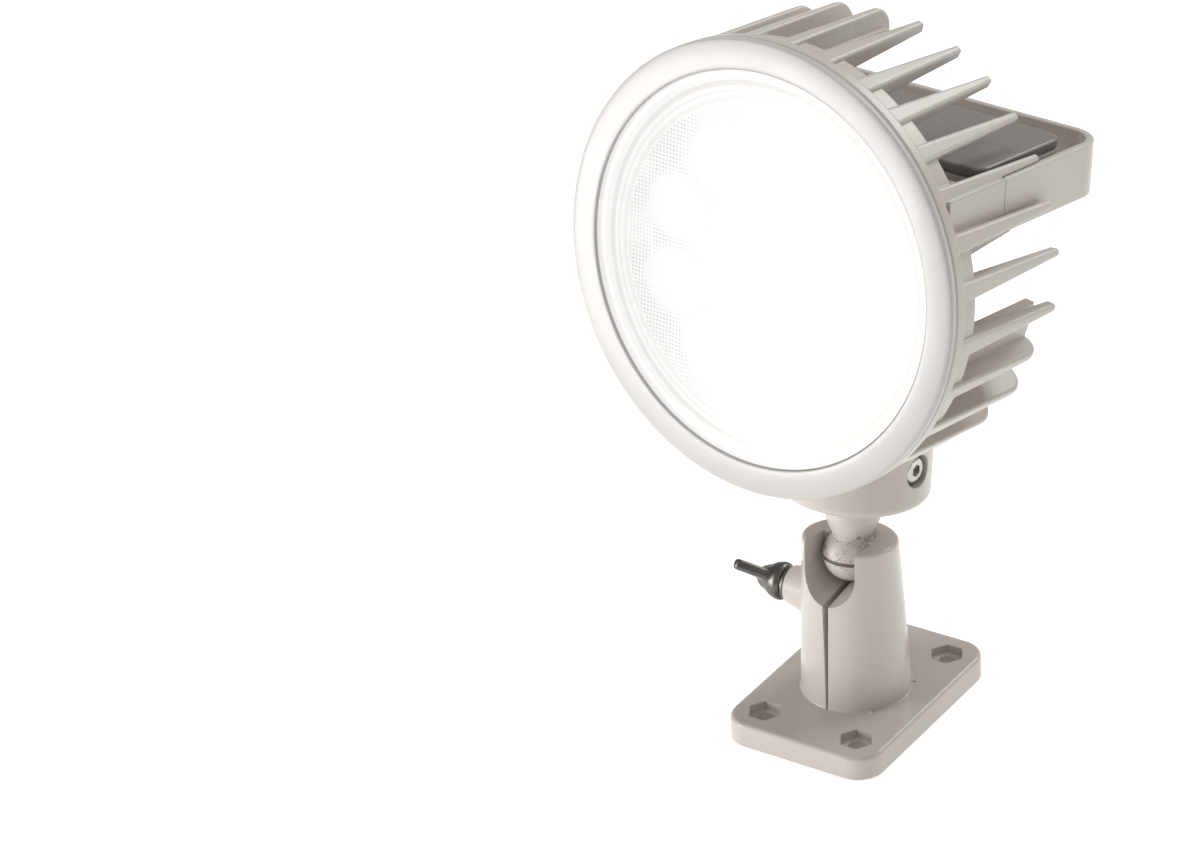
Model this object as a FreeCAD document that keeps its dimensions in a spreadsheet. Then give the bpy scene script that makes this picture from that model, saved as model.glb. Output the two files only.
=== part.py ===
import FreeCAD, Part
import math
import os
import re
import Sketcher
from FreeCAD import Placement, Rotation, Vector

# Marine searchlight on a clamped ball mount.
# World frame: origin in the middle of the plate's underside, +Z up, the lamp looks towards -Y.
# Stem frame: origin at the ball's centre, +Z along the stem, the lamp looks towards -Y.
# Head frame: origin on the light's axis at the bezel's front rim, +X to the side,
# +Y backwards into the lamp, +Z up.

# Driving dimensions in millimetres and degrees
SIZES = {
    # Mounting plate
    "plate_width": 62.0,
    "plate_length": 87.0,
    "plate_thickness": 9.0,
    "plate_corner": 10.0,
    "plate_edge": 1.5,
    "bolt_spacing_x": 38.4,
    "bolt_spacing_y": 63.4,
    "bolt_hole_radius": 3.3,
    "bolt_recess_flats": 11.0,
    "bolt_recess_depth": 3.0,
    # Split post
    "post_foot_radius": 20.6,
    "post_top_radius": 17.2,
    "post_height": 74.0,
    "post_middle_height": 71.0,
    "post_top_slope": 9.6,
    "post_rim": 1.6,
    "post_foot_fillet": 0.5,
    "slit_top_width": 2.3,
    "slit_foot_width": 0.6,
    "slit_knee_height": 51.0,
    # Ball joint
    "ball_height": 64.0,
    "ball_radius": 10.0,
    "seat_clearance": 0.05,
    "groove_clearance": 0.25,
    "groove_slope": 8.0,
    "mouth_angle": 47.5,
    "mouth_back_tilt": 20.0,
    "neck_radius": 7.0,
    "neck_height": 7.6,
    "shoulder_height": 14.4,
    "shank_radius": 9.9,
    "shank_length": 33.6,
    "shank_chamfer": 1.0,
    "ring_drop": 0.8,
    "ring_radius": 9.25,
    "ring_section": 0.55,
    "ring_groove_width": 1.3,
    "ring_groove_radius": 8.6,
    "rest_tilt": 8.88,
    "rest_turn": 5.05,
    # Clamp screw
    "clamp_height": 43.5,
    "boss_root_radius": 10.0,
    "boss_face_radius": 6.9,
    "boss_reach": 26.0,
    "boss_depth": 12.0,
    "boss_rim": 1.2,
    "clamp_thread_radius": 4.0,
    "clamp_hole_radius": 4.3,
    "clamp_clearance": 0.05,
    "insert_radius": 5.6,
    "insert_length": 12.0,
    "clamp_reach": 12.0,
    "washer_radius": 6.2,
    "washer_thickness": 1.5,
    "hub_radius": 7.2,
    "hub_foot_radius": 6.2,
    "hub_length": 11.0,
    "hub_end_radius": 3.4,
    "wing_reach": 15.0,
    "wing_top": 16.0,
    "wing_thickness": 4.0,
    "wing_tip": 3.5,
    "wing_angle": 42.0,
    "wing_corner": 1.6,
    "wing_edge": 1.3,
    # Lamp over the ball
    "light_height": 124.4,
    "front_reach": 64.4,
    # Bezel and lens
    "bezel_radius": 80.0,
    "bezel_face": 10.3,
    "bezel_flange": 2.2,
    "bezel_spigot_step": 2.0,
    "bezel_depth": 5.0,
    "bezel_crown": 0.6,
    "bezel_lip_edge": 0.5,
    "bezel_edge": 0.9,
    "bezel_gap": 0.6,
    "lens_lap": 2.1,
    "lens_front": 1.6,
    "lens_rise": 1.4,
    "lens_edge_gap": 0.2,
    "lens_border": 8.7,
    "lens_step_width": 2.9,
    "lens_step": 0.5,
    "gasket_thickness": 1.2,
    "gasket_width": 5.6,
    "fit_clearance": 0.2,
    "bezel_screw_inset": 5.7,
    # Housing
    "rim_rear": 8.0,
    "rim_height": 2.2,
    "ring_rear": 16.5,
    "ring_edge": 0.5,
    "bowl_inset": 15.0,
    "bowl_wall": 3.2,
    "bowl_floor_front": 33.0,
    "bowl_floor_rear": 38.0,
    "fin_drop": 0.6,
    "fin_front": 7.4,
    "fin_rear": 63.6,
    "fin_root_thickness": 6.7,
    "fin_tip_thickness": 2.9,
    "fin_height": 7.9,
    "short_fin_height": 4.4,
    "fin_tip_depth": 3.2,
    "fin_edge": 1.2,
    "blade_root_thickness": 5.6,
    "blade_tip_thickness": 3.2,
    "top_shell_depth": 6.9,
    "top_blade_rear": 66.0,
    "top_shell_rear": 62.0,
    "side_shell_depth": 7.4,
    "side_blade_rear": 63.0,
    "side_shell_rear": 61.0,
    "bottom_shell_depth": 13.9,
    "bottom_blade_rear": 66.0,
    "bottom_shell_rear": 58.0,
    "shell_wall": 3.5,
    "blade_corner": 8.0,
    "drum_radius": 27.0,
    "drum_bottom": 100.0,
    "drum_top": 62.0,
    "drum_edge": 3.0,
    "drum_crown": 7.0,
    "drum_rib_width": 8.0,
    "cross_screw_drop": 85.0,
    "cross_thread_radius": 3.0,
    "cross_hole_radius": 3.2,
    "cross_pocket_radius": 6.1,
    "cross_seat": 22.6,
    "cross_head_radius": 5.25,
    "cross_head_height": 3.3,
    "cross_socket_flats": 4.0,
    "cross_nut_flats": 10.0,
    "cross_nut_thickness": 5.0,
    # Rear strap and its lugs
    "strap_half_width": 70.0,
    "strap_thickness": 3.0,
    "strap_rear": 102.3,
    "strap_bottom": 20.8,
    "strap_top": 40.0,
    "lug_corner": 1.0,
    "strap_corner": 13.0,
    "strap_edge": 0.7,
    "strap_joint": 40.8,
    "strap_clearance": 0.35,
    "lug_front": 9.5,
    "lug_wall": 5.0,
    "lug_bottom": 20.0,
    "lug_flat_bottom": 26.4,
    "shelf_bottom": 16.5,
    "shelf_tip_bottom": 20.0,
    "shelf_rear": 47.0,
    "tongue_front": 28.0,
    "strap_screw_depth": 34.0,
    "strap_screw_spacing": 7.4,
    "strap_screw_radius": 2.0,
    # Driver case
    "case_half_width": 61.5,
    "case_rear": 87.8,
    "case_bottom": 16.5,
    "case_top": 41.5,
    "case_corner": 6.0,
    "case_wall": 2.5,
    "case_edge": 1.0,
    "lid_thickness": 3.0,
    "lid_gasket_thickness": 0.8,
    "lid_gasket_inset": 1.0,
    "lid_screw_x": 55.5,
    "lid_screw_inset": 6.0,
    "lid_screw_seat": 2.2,
    "lid_screw_bite": 2.0,
    "pillar_radius": 3.8,
    "case_screw_x": 22.0,
    "case_screw_low": 23.5,
    "case_screw_high": 34.0,
    "case_screw_radius": 2.0,
    # Light engine
    "board_margin": 2.0,
    "board_thickness": 1.6,
    "pad_thickness": 0.4,
    "optic_front": 13.0,
    "optic_plate": 2.0,
    "optic_mouth_radius": 12.0,
    "optic_foot_radius": 5.0,
    "optic_recess_radius": 2.8,
    "optic_recess_depth": 2.4,
    "inner_optic_circle": 15.0,
    "outer_optic_inset": 6.5,
    "led_radius": 2.2,
    "led_height": 1.4,
    "board_screw_inset": 19.0,
    "small_screw_radius": 1.5,
    "small_head_radius": 2.7,
    "small_head_height": 1.9,
    "head_clearance": 0.15,
    "wire_height": 29.0,
    "wire_radius": 0.9,
    "wire_spacing": 3.6,
    "grommet_radius": 4.5,
    "grommet_bore": 3.1,
    # Driver and cable entry
    "driver_left": 22.0,
    "driver_right": 50.0,
    "driver_front": 46.0,
    "driver_rear": 84.0,
    "driver_level": 22.0,
    "standoff_radius": 3.0,
    "standoff_inset": 4.0,
    "terminal_half_width": 6.0,
    "terminal_front": 50.0,
    "gland_x": 42.0,
    "gland_depth": 66.0,
    "gland_thread_radius": 7.9,
    "gland_hex": 20.0,
    "gland_hex_height": 6.5,
    "gland_spigot": 8.0,
    "gland_seal_radius": 6.0,
    "gland_nut_height": 4.0,
    "gland_cap_radius": 9.6,
    "gland_cap_height": 14.0,
    "gland_cap_wall": 2.5,
    "gland_bore": 3.4,
    "vent_x": 40.0,
    "vent_thread_radius": 5.9,
    "vent_cap_radius": 8.5,
    "vent_cap_height": 4.0,
}

# Fins round the housing, in degrees from the right-hand side, anticlockwise seen from the front
RIGHT_FIN_ANGLES = (77.5, 65.25, 54.25, 43.0)
SHORT_FIN_ANGLES = (31.5, 19.75)
SIDE_FIN_ANGLES = (7.75, -6.75)
SIDE_BLADE_ANGLE = -19.3
BOTTOM_BLADE_ANGLES = (-32.0, -45.5, -58.0)
TOP_BLADE_ANGLES = (89.0, 101.0, 113.0)
LEFT_FIN_ANGLES = (125.5, 137.5)
BEZEL_SCREW_ANGLES = (71.4, 0.5, -51.75, 231.75, 179.5, 131.5)
BOARD_SCREW_ANGLES = (30, 150, 270)

# Radii that follow the bezel's outside
BEZEL_OPENING = "(bezel_radius - bezel_face)"
SPIGOT_RADIUS = "(bezel_radius - bezel_spigot_step)"
SCREW_CIRCLE = "(bezel_radius - bezel_screw_inset)"
LENS_RADIUS = "(bezel_radius - bezel_face + lens_lap)"
RING_FLOOR = "(bezel_radius - rim_height)"
FIN_CREST = "(bezel_radius - fin_drop)"
BOWL_RADIUS = "(bezel_radius - bowl_inset)"
TOP_SHELL = f"({FIN_CREST} - top_shell_depth)"
SIDE_SHELL = f"({FIN_CREST} - side_shell_depth)"
BOTTOM_SHELL = f"({FIN_CREST} - bottom_shell_depth)"
BOARD_RADIUS = f"({BOWL_RADIUS} + ring_rear - bowl_floor_front - board_margin)"

# Turns that lay a piece's own Z axis along a world axis
ALONG = {
    "Z": Rotation(),
    "X": Rotation(Vector(0, 1, 0), 90),
    "Y": Rotation(Vector(1, 0, 0), -90),
}
ORIGIN = ("0", "0", "0")

doc = FreeCAD.newDocument("marine_searchlight")
sheet = doc.addObject("Spreadsheet::Sheet", "sizes")
for row, (alias, value) in enumerate(SIZES.items(), start=1):
    sheet.set(f"A{row}", alias)
    sheet.set(f"B{row}", str(value))
    sheet.setAlias(f"B{row}", alias)
doc.recompute()


def size(alias):
    """Read one size from the sheet."""
    return float(sheet.get(alias))


def formula(text):
    """Turn plain size names into references to the sheet's cells."""
    return re.sub(r"[a-z_]+", lambda word: "sizes." + word[0] if word[0] in SIZES else word[0], text)


def bind(piece, **formulas):
    """Tie a piece's properties to formulas of the sizes."""
    for name, text in formulas.items():
        piece.setExpression(name, formula(text))


def solid(kind, name, at=ORIGIN, along="Z", place=None, **sizes):
    """Make a primitive whose sizes follow the sheet, at a formula's place or a placement."""
    piece = doc.addObject("Part::" + kind, name)
    bind(piece, **sizes)
    if place is not None:
        piece.Placement = place
        return piece
    piece.Placement = Placement(Vector(), ALONG[along])
    for letter, text in zip("xyz", at):
        piece.setExpression("Placement.Base." + letter, formula(text))
    return piece


def block(name, across, deep, tall):
    """Make a box from its lowest and highest formula on each axis."""
    spans = {side: f"({high}) - ({low})"
             for side, (low, high) in zip(("Length", "Width", "Height"), (across, deep, tall))}
    return solid("Box", name, at=(across[0], deep[0], tall[0]), **spans)


def rod(name, radius, length, at=ORIGIN, along="Z", place=None):
    """Make a round bar."""
    return solid("Cylinder", name, at=at, along=along, place=place, Radius=radius, Height=length)


def hexagon(name, flats, length, at=ORIGIN, along="Z"):
    """Make a six-sided bar from its width across the flats."""
    prism = solid("Prism", name, at=at, along=along,
                  Circumradius=f"({flats}) / sqrt(3)", Height=length)
    prism.Polygon = 6
    return prism


def joined(name, pieces):
    """Fuse several pieces into one."""
    fuse = doc.addObject("Part::MultiFuse", name)
    fuse.Shapes = pieces
    fuse.Refine = True
    return fuse


def trimmed(name, base, tools):
    """Cut tools out of a piece."""
    cut = doc.addObject("Part::Cut", name)
    cut.Base = base
    cut.Tool = tools[0] if len(tools) == 1 else joined(name + "_tools", tools)
    cut.Refine = True
    return cut


def rounded(name, base, radius, chosen):
    """Round the edges of a piece that the test picks out."""
    doc.recompute()
    fillet = doc.addObject("Part::Fillet", name)
    fillet.Base = base
    fillet.Edges = [(number, radius, radius)
                    for number, edge in enumerate(base.Shape.Edges, start=1) if chosen(edge)]
    return fillet


def grouped(name, pieces):
    """Hold separate solids of one kind together as one group."""
    group = doc.addObject("Part::Compound", name)
    group.Links = pieces
    return group


def outline(body, role, corners):
    """Draw a closed outline whose corners follow the sheet."""
    sketch = body.newObject("Sketcher::SketchObject", body.Name + "_outline")
    plane = next(plane for plane in body.Origin.OriginFeatures if plane.Role == role)
    sketch.AttachmentSupport = [(plane, "")]
    sketch.MapMode = "FlatFace"
    count = len(corners)
    start = [Vector(20 + 10 * math.cos(2 * math.pi * k / count),
                    20 + 10 * math.sin(2 * math.pi * k / count), 0) for k in range(count)]
    for k in range(count):
        sketch.addGeometry(Part.LineSegment(start[k], start[(k + 1) % count]), False)
    for k, corner in enumerate(corners):
        sketch.addConstraint(Sketcher.Constraint("Coincident", k, 2, (k + 1) % count, 1))
        for kind, axis, text in (("DistanceX", -2, corner[0]), ("DistanceY", -1, corner[1])):
            if text == "0":
                sketch.addConstraint(Sketcher.Constraint("PointOnObject", k, 1, axis))
                continue
            number = sketch.addConstraint(Sketcher.Constraint(kind, -1, 1, k, 1, 10.0))
            sketch.setExpression(f"Constraints[{number}]", formula(text))
    return sketch


def lathed(name, role, axis, corners, angle=360):
    """Turn an outline about one axis of its sketch, as on a lathe."""
    body = doc.addObject("PartDesign::Body", name)
    sketch = outline(body, role, corners)
    lathe = body.newObject("PartDesign::Revolution", name + "_turned")
    lathe.Profile = sketch
    lathe.ReferenceAxis = (sketch, [axis])
    lathe.Angle = angle
    lathe.Midplane = True
    return body


def padded(name, role, corners, thickness):
    """Pad an outline by half its thickness to each side."""
    body = doc.addObject("PartDesign::Body", name)
    sketch = outline(body, role, corners)
    pad = body.newObject("PartDesign::Pad", name + "_pad")
    pad.Profile = sketch
    pad.Midplane = True
    bind(pad, Length=thickness)
    return body


def softened(body, radius, chosen):
    """Round the edges of a body's last feature that the test picks out."""
    doc.recompute()
    last = body.Tip
    fillet = body.newObject("PartDesign::Fillet", last.Name + "_softened")
    names = [f"Edge{number}" for number, edge in enumerate(last.Shape.Edges, start=1) if chosen(edge)]
    fillet.Base = (last, names)
    bind(fillet, Radius=radius)
    body.Tip = fillet
    return body


def upright(edge):
    """An edge that runs straight along Z."""
    box = edge.BoundBox
    return box.XLength < 1e-4 and box.YLength < 1e-4


def flat_along(axis, value, edge):
    """An edge that lies in one plane square to an axis."""
    box = edge.BoundBox
    low, high = (getattr(box, axis + "Min"), getattr(box, axis + "Max"))
    return abs(low - value) < 1e-3 and abs(high - value) < 1e-3


def either_side(side, low, high):
    """A span across the lamp on the right, or its mirror image on the left."""
    return (low, high) if side > 0 else (f"-({high})", f"-({low})")


def both_sides(angles):
    """The angles of a pattern on the right, then their mirror images on the left."""
    return [*angles, *(180 - angle for angle in angles)]


def about_light(angle):
    """A turn about the light's axis that takes the top of the head to an angle."""
    return Placement(Vector(), Rotation(Vector(0, 1, 0), 90 - angle))


stem_place = Placement(Vector(0, 0, size("ball_height")),
                       Rotation(Vector(0, 0, 1), -size("rest_turn"))
                       * Rotation(Vector(1, 0, 0), -size("rest_tilt")))
head_place = stem_place * Placement(Vector(0, -size("front_reach"), size("light_height")), Rotation())
finished_parts = []


def finish(name, piece, place=None):
    """Give a finished sub-part its name and its place on the whole lamp."""
    doc.recompute()
    if place is not None:
        piece.Placement = place * piece.Placement
    piece.Label = name
    finished_parts.append(piece)


# Mounting plate and split post, one moulding
def make_plate():
    wide, long = "plate_width / 2", "plate_length / 2"
    plate = doc.addObject("PartDesign::Body", "plate")
    sketch = outline(plate, "XY_Plane", [("-" + wide, "-" + long), (wide, "-" + long),
                                         (wide, long), ("-" + wide, long)])
    pad = plate.newObject("PartDesign::Pad", "plate_pad")
    pad.Profile = sketch
    bind(pad, Length="plate_thickness")
    softened(plate, "plate_corner", upright)
    return softened(plate, "plate_edge", lambda edge: flat_along("Z", size("plate_thickness"), edge))


def make_post():
    cone = solid("Cone", "post_cone", Radius1="post_foot_radius", Radius2="post_top_radius",
                 Height="post_height")
    middle = Placement(Vector(0, 0, size("post_middle_height")),
                       Rotation(Vector(1, 0, 0), -size("post_top_slope")))
    reach = 2 * size("post_foot_radius")
    above = solid("Box", "above_post", place=middle * Placement(Vector(-reach, -reach, 0), Rotation()),
                  Length="post_foot_radius * 4", Width="post_foot_radius * 4", Height="post_foot_radius")
    sloped = trimmed("sloped_post", cone, [above])
    return rounded("post", sloped, size("post_rim"),
                   lambda edge: edge.BoundBox.ZMin > size("plate_thickness"))


def make_boss():
    cone = solid("Cone", "boss_cone", at=("-boss_reach", "0", "clamp_height"), along="X",
                 Radius1="boss_face_radius", Radius2="boss_root_radius", Height="boss_depth")
    return rounded("boss", cone, size("boss_rim"),
                   lambda edge: flat_along("X", -size("boss_reach"), edge))


def ball_tools():
    """The ball's seat, the mouth above it and the groove that the stem folds into."""
    centre = ("0", "0", "ball_height")
    seat = solid("Sphere", "ball_seat", at=centre, Radius="ball_radius + seat_clearance")
    tools = [seat]
    steps = 3
    for k in range(steps):
        lean = size("mouth_back_tilt") * k / (steps - 1)
        place = Placement(Vector(0, 0, size("ball_height")), Rotation(Vector(1, 0, 0), -lean))
        tools.append(solid("Cone", f"mouth_{k}", place=place, Radius1="0",
                           Radius2="ball_radius * 1.5 * tan(mouth_angle)", Height="ball_radius * 1.5"))
    downhill = Placement(Vector(0, 0, size("ball_height")), Rotation(Vector(1, 0, 0), size("groove_slope")))
    reach = 2 * size("post_foot_radius")
    groove = "ball_radius + groove_clearance"
    width = size("ball_radius") + size("groove_clearance")
    lying = Placement(Vector(0, -reach, 0), ALONG["Y"])
    tools.append(rod("groove_round", groove, "post_foot_radius * 2", place=downhill * lying))
    corner = Placement(Vector(-width, -reach, 0), Rotation())
    tools.append(solid("Box", "groove_slab", place=downhill * corner, Length="2 * (" + groove + ")",
                       Width="post_foot_radius * 2", Height="post_foot_radius * 2"))
    return tools


def make_slit():
    foot, knee = "slit_foot_width / 2", "slit_top_width / 2"
    return padded("slit", "XZ_Plane",
                  [("-" + foot, "plate_thickness"), (foot, "plate_thickness"),
                   (knee, "slit_knee_height"), (knee, "post_height + 5"),
                   ("-" + knee, "post_height + 5"), ("-" + knee, "slit_knee_height")],
                  "post_foot_radius * 3")


def make_mount_base():
    blank = joined("base_blank", [make_plate(), make_post(), make_boss()])

    def at_foot(edge):
        near = all(math.hypot(end.X, end.Y) < size("post_foot_radius") for end in edge.Vertexes)
        return near and flat_along("Z", size("plate_thickness"), edge)
    filleted = rounded("base_filleted", blank, size("post_foot_fillet"), at_foot)
    tools = ball_tools() + [make_slit()]
    tools.append(rod("clamp_bore", "clamp_hole_radius", "boss_reach + clamp_reach + 1",
                     at=("-boss_reach - 0.5", "0", "clamp_height"), along="X"))
    tools.append(rod("insert_bore", "insert_radius", "insert_length + slit_top_width / 2",
                     at=("0", "0", "clamp_height"), along="X"))
    for side, across in (("left", -1), ("right", 1)):
        for end, deep in (("front", -1), ("rear", 1)):
            spot = (f"{across} * bolt_spacing_x / 2", f"{deep} * bolt_spacing_y / 2")
            tools.append(rod(f"bolt_hole_{end}_{side}", "bolt_hole_radius", "plate_thickness + 2",
                             at=(*spot, "-1")))
            tools.append(hexagon(f"bolt_recess_{end}_{side}", "bolt_recess_flats", "bolt_recess_depth + 1",
                                 at=(*spot, "plate_thickness - bolt_recess_depth")))
    finish("mount_base", trimmed("mount_base", filleted, tools))


def make_clamp_insert():
    """The threaded bush in the right half of the post."""
    sleeve = rod("insert_sleeve", "insert_radius", "insert_length",
                 at=("slit_top_width / 2", "0", "clamp_height"), along="X")
    bore = rod("insert_thread", "clamp_thread_radius + clamp_clearance", "insert_length * 2",
               at=("0", "0", "clamp_height"), along="X")
    finish("clamp_insert", trimmed("clamp_insert", sleeve, [bore]))


def make_clamp_washer():
    disc = rod("washer_disc", "washer_radius", "washer_thickness",
               at=("-boss_reach - washer_thickness - 0.1", "0", "clamp_height"), along="X")
    bore = rod("washer_bore", "clamp_hole_radius", "washer_thickness * 3",
               at=("-boss_reach - washer_thickness * 2", "0", "clamp_height"), along="X")
    rim = rounded("washer_rim", disc, size("washer_thickness") / 4,
                  lambda edge: edge.Length > size("washer_radius"))
    finish("clamp_washer", trimmed("clamp_washer", rim, [bore]))


def make_wing(side):
    """One ear of the wing screw, drawn in the plane of its own flat."""
    reach = [("0", "2"), ("wing_reach * 0.27", "3.5"), ("wing_reach * 0.53", "hub_length / 2"),
             ("wing_reach * 0.81", "hub_length - 1.5"), ("wing_reach", "wing_top - 2.5"),
             ("wing_reach - 0.8", "wing_top"), ("wing_reach - wing_tip", "wing_top"),
             ("wing_reach * 0.47", "hub_length + 1.5"), ("hub_end_radius", "hub_length"), ("0", "hub_length - 1")]
    if side < 0:
        reach = [("0" if across == "0" else "-(" + across + ")", up) for across, up in reach]
    ear = padded("ear_left" if side < 0 else "ear_right", "XZ_Plane", reach, "wing_thickness")

    def corner(edge):
        box = edge.BoundBox
        return box.XLength < 1e-4 and box.ZLength < 1e-4 and min(abs(box.XMin), box.ZMin) > size("hub_end_radius") + 1
    softened(ear, "wing_corner", corner)
    half = size("wing_thickness") / 2

    return softened(ear, "wing_edge", lambda edge: flat_along("Y", half, edge) or flat_along("Y", -half, edge))


def make_wing_screw():
    """Hub, two ears and threaded shank, drawn upright with the hub's seat at zero."""
    hub = lathed("hub", "XZ_Plane", "V_Axis",
                 [("0", "0"), ("hub_foot_radius", "0"), ("hub_radius - 0.3", "hub_length * 0.07"),
                  ("hub_radius", "hub_length * 0.2"), ("hub_radius - 0.6", "hub_length * 0.42"),
                  ("hub_radius - 2", "hub_length * 0.64"), ("hub_end_radius + 0.8", "hub_length * 0.86"),
                  ("hub_end_radius", "hub_length"), ("0", "hub_length")])
    shank = rod("wing_shank", "clamp_thread_radius - clamp_clearance",
                "boss_reach + washer_thickness + clamp_reach",
                at=("0", "0", "-boss_reach - washer_thickness - clamp_reach"))
    whole = joined("wing_screw", [hub, make_wing(-1), make_wing(1), shank])
    seat = Vector(-size("boss_reach") - size("washer_thickness") - 0.2, 0, size("clamp_height"))
    lying = Rotation(Vector(0, 1, 0), -90) * Rotation(Vector(0, 0, 1), size("wing_angle") - 90)
    finish("wing_screw", whole, Placement(seat, lying))


# Ball stud, drawn in the stem frame
def make_ball_ring():
    level = Placement(Vector(0, 0, -size("ring_drop")), Rotation())
    ring = solid("Torus", "ball_ring", place=level, Radius1="ring_radius", Radius2="ring_section")
    finish("ball_ring", ring, stem_place)


def make_ball_stud():
    ball = solid("Sphere", "ball", Radius="ball_radius")
    neck = solid("Cone", "neck", at=("0", "0", "neck_height"), Radius1="neck_radius",
                 Radius2="shank_radius", Height="shoulder_height - neck_height")
    throat = rod("throat", "neck_radius", "neck_height")
    rise = "light_height - drum_bottom - shoulder_height + shank_length"
    shank = rod("shank", "shank_radius", rise, at=("0", "0", "shoulder_height"))
    blank = joined("stud_blank", [ball, throat, neck, shank])
    top = size("light_height") - size("drum_bottom") + size("shank_length")
    blank = rounded("stud_rounded", blank, size("shank_chamfer"), lambda edge: flat_along("Z", top, edge))
    groove = trimmed("ring_groove", rod("groove_disc", "ball_radius + 1", "ring_groove_width",
                                        at=("0", "0", "-ring_drop - ring_groove_width / 2")),
                     [rod("groove_core", "ring_groove_radius", "ring_groove_width * 3",
                          at=("0", "0", "-ring_drop - ring_groove_width * 1.5"))])
    hole = rod("stud_cross_hole", "cross_hole_radius", "shank_radius * 4",
               at=("-shank_radius * 2", "0", "light_height - cross_screw_drop"), along="X")
    finish("ball_stud", trimmed("ball_stud", blank, [groove, hole]), stem_place)


# Housing, one casting, drawn in the head frame
def wedge(name, angle, front, rear, thickness, depth):
    """A fin: front and rear, its thickness at each, and its inner radius at each."""
    piece = solid("Wedge", name, place=about_light(angle),
                  Ymin=front, Ymax=rear,
                  Xmin=f"-({thickness[0]}) / 2", Xmax=f"({thickness[0]}) / 2",
                  X2min=f"-({thickness[1]}) / 2", X2max=f"({thickness[1]}) / 2",
                  Zmin=depth[0], Z2min=depth[1], Zmax=FIN_CREST, Z2max=FIN_CREST)
    return piece


def crest_edges(piece):
    """Edges of a fin along its crest and round its rear end, seen in its own frame."""
    turn = piece.Placement.inverse()
    rear, crest = float(piece.Ymax), float(piece.Zmax)

    def chosen(edge):
        ends = [turn.multVec(vertex.Point) for vertex in edge.Vertexes]
        on_crest = all(abs(end.z - crest) < 1e-4 for end in ends)
        at_rear = all(abs(end.y - rear) < 1e-4 for end in ends)
        at_front = all(abs(end.y - size("fin_front")) < 1e-4 for end in ends)
        return (on_crest or at_rear) and not at_front
    return chosen


def make_fin(number, angle, height):
    fin = wedge(f"fin_{number}", angle, "fin_front", "fin_rear",
                ("fin_root_thickness", "fin_tip_thickness"),
                (f"{FIN_CREST} - {height}", f"{FIN_CREST} - fin_tip_depth"))
    doc.recompute()
    return rounded(f"fin_{number}_rounded", fin, size("fin_edge"), crest_edges(fin))


def make_blade(number, angle, shell, rear):
    """A deep fin that stands on a shell, with a large radius on its rear corner."""
    root = f"{shell} - shell_wall / 2"
    blade = wedge(f"blade_{number}", angle, "fin_front", rear,
                  ("blade_root_thickness", "blade_tip_thickness"), (root, root))
    doc.recompute()
    turn = blade.Placement.inverse()
    end_depth, crest = float(blade.Ymax), float(blade.Zmax)
    floor = float(blade.Zmin) + size("shell_wall") / 2

    def rear_corner(edge):
        ends = [turn.multVec(vertex.Point) for vertex in edge.Vertexes]
        return all(abs(end.z - crest) < 1e-4 and abs(end.y - end_depth) < 1e-4 for end in ends)
    corner = rounded(f"blade_{number}_corner", blade, size("blade_corner"), rear_corner)
    doc.recompute()

    def outer_edge(edge):
        ends = [turn.multVec(vertex.Point) for vertex in edge.Vertexes]
        outside = min(end.z for end in ends) > floor - 1e-3
        return outside and edge.Length > size("blade_root_thickness") + 1
    return rounded(f"blade_{number}_rounded", corner, size("fin_edge"), outer_edge)


def make_shell(name, radius, rear, middle_angle, span):
    """An arched floor between deep fins."""
    inner = f"{radius} - shell_wall"
    shell = lathed(name, "XY_Plane", "V_Axis",
                   [(inner, "rim_rear + 4"), (radius, "rim_rear + 4"), (radius, rear), (inner, rear)], span)
    shell.Placement = Placement(Vector(), Rotation(Vector(0, 1, 0), -middle_angle))
    return shell


def make_ring_and_bowl():
    """The front ring and the bowl behind it, still solid inside."""
    slope = "bowl_wall * sqrt(2)"
    lip = SPIGOT_RADIUS + " + fit_clearance"
    recess = LENS_RADIUS + " + fit_clearance"
    front = "bezel_flange + bezel_gap"
    seat = "bezel_depth + gasket_thickness"
    outer_line = f"({BOWL_RADIUS} + ring_rear + {slope})"
    turned = lathed("ring_and_bowl", "XY_Plane", "V_Axis",
                  [("0", seat), (recess, seat), (recess, "bezel_depth"),
                   (lip, "bezel_depth"), (lip, front), ("bezel_radius - 0.6", front),
                   ("bezel_radius", front + " + 0.6"), ("bezel_radius", "rim_rear - 0.8"),
                   ("bezel_radius - 0.8", "rim_rear"), (RING_FLOOR, "rim_rear"),
                   (RING_FLOOR, "ring_rear - ring_edge"), (RING_FLOOR + " - ring_edge", "ring_rear"),
                   (f"{outer_line} - ring_rear", "ring_rear"),
                   (f"{outer_line} - bowl_floor_rear + 1.5", "bowl_floor_rear - 1.5"),
                   (f"{outer_line} - bowl_floor_rear - 1", "bowl_floor_rear"), ("0", "bowl_floor_rear")])
    flats = [block(f"lug_flat_{name}", either_side(side, "strap_half_width", "bezel_radius + 1"),
                   ("lug_front", "ring_rear + 1"), ("lug_flat_bottom", "strap_top + lug_corner"))
             for side, name in ((1, "right"), (-1, "left"))]
    return trimmed("ring_with_flats", turned, flats)


def make_cavity():
    """The space inside the bowl."""
    seat = "bezel_depth + gasket_thickness"
    return lathed("cavity", "XY_Plane", "V_Axis",
                  [("0", seat + " - 1"), (BOWL_RADIUS, seat + " - 1"), (BOWL_RADIUS, "ring_rear"),
                   (BOWL_RADIUS + " + ring_rear - bowl_floor_front", "bowl_floor_front"),
                   ("0", "bowl_floor_front")])


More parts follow.
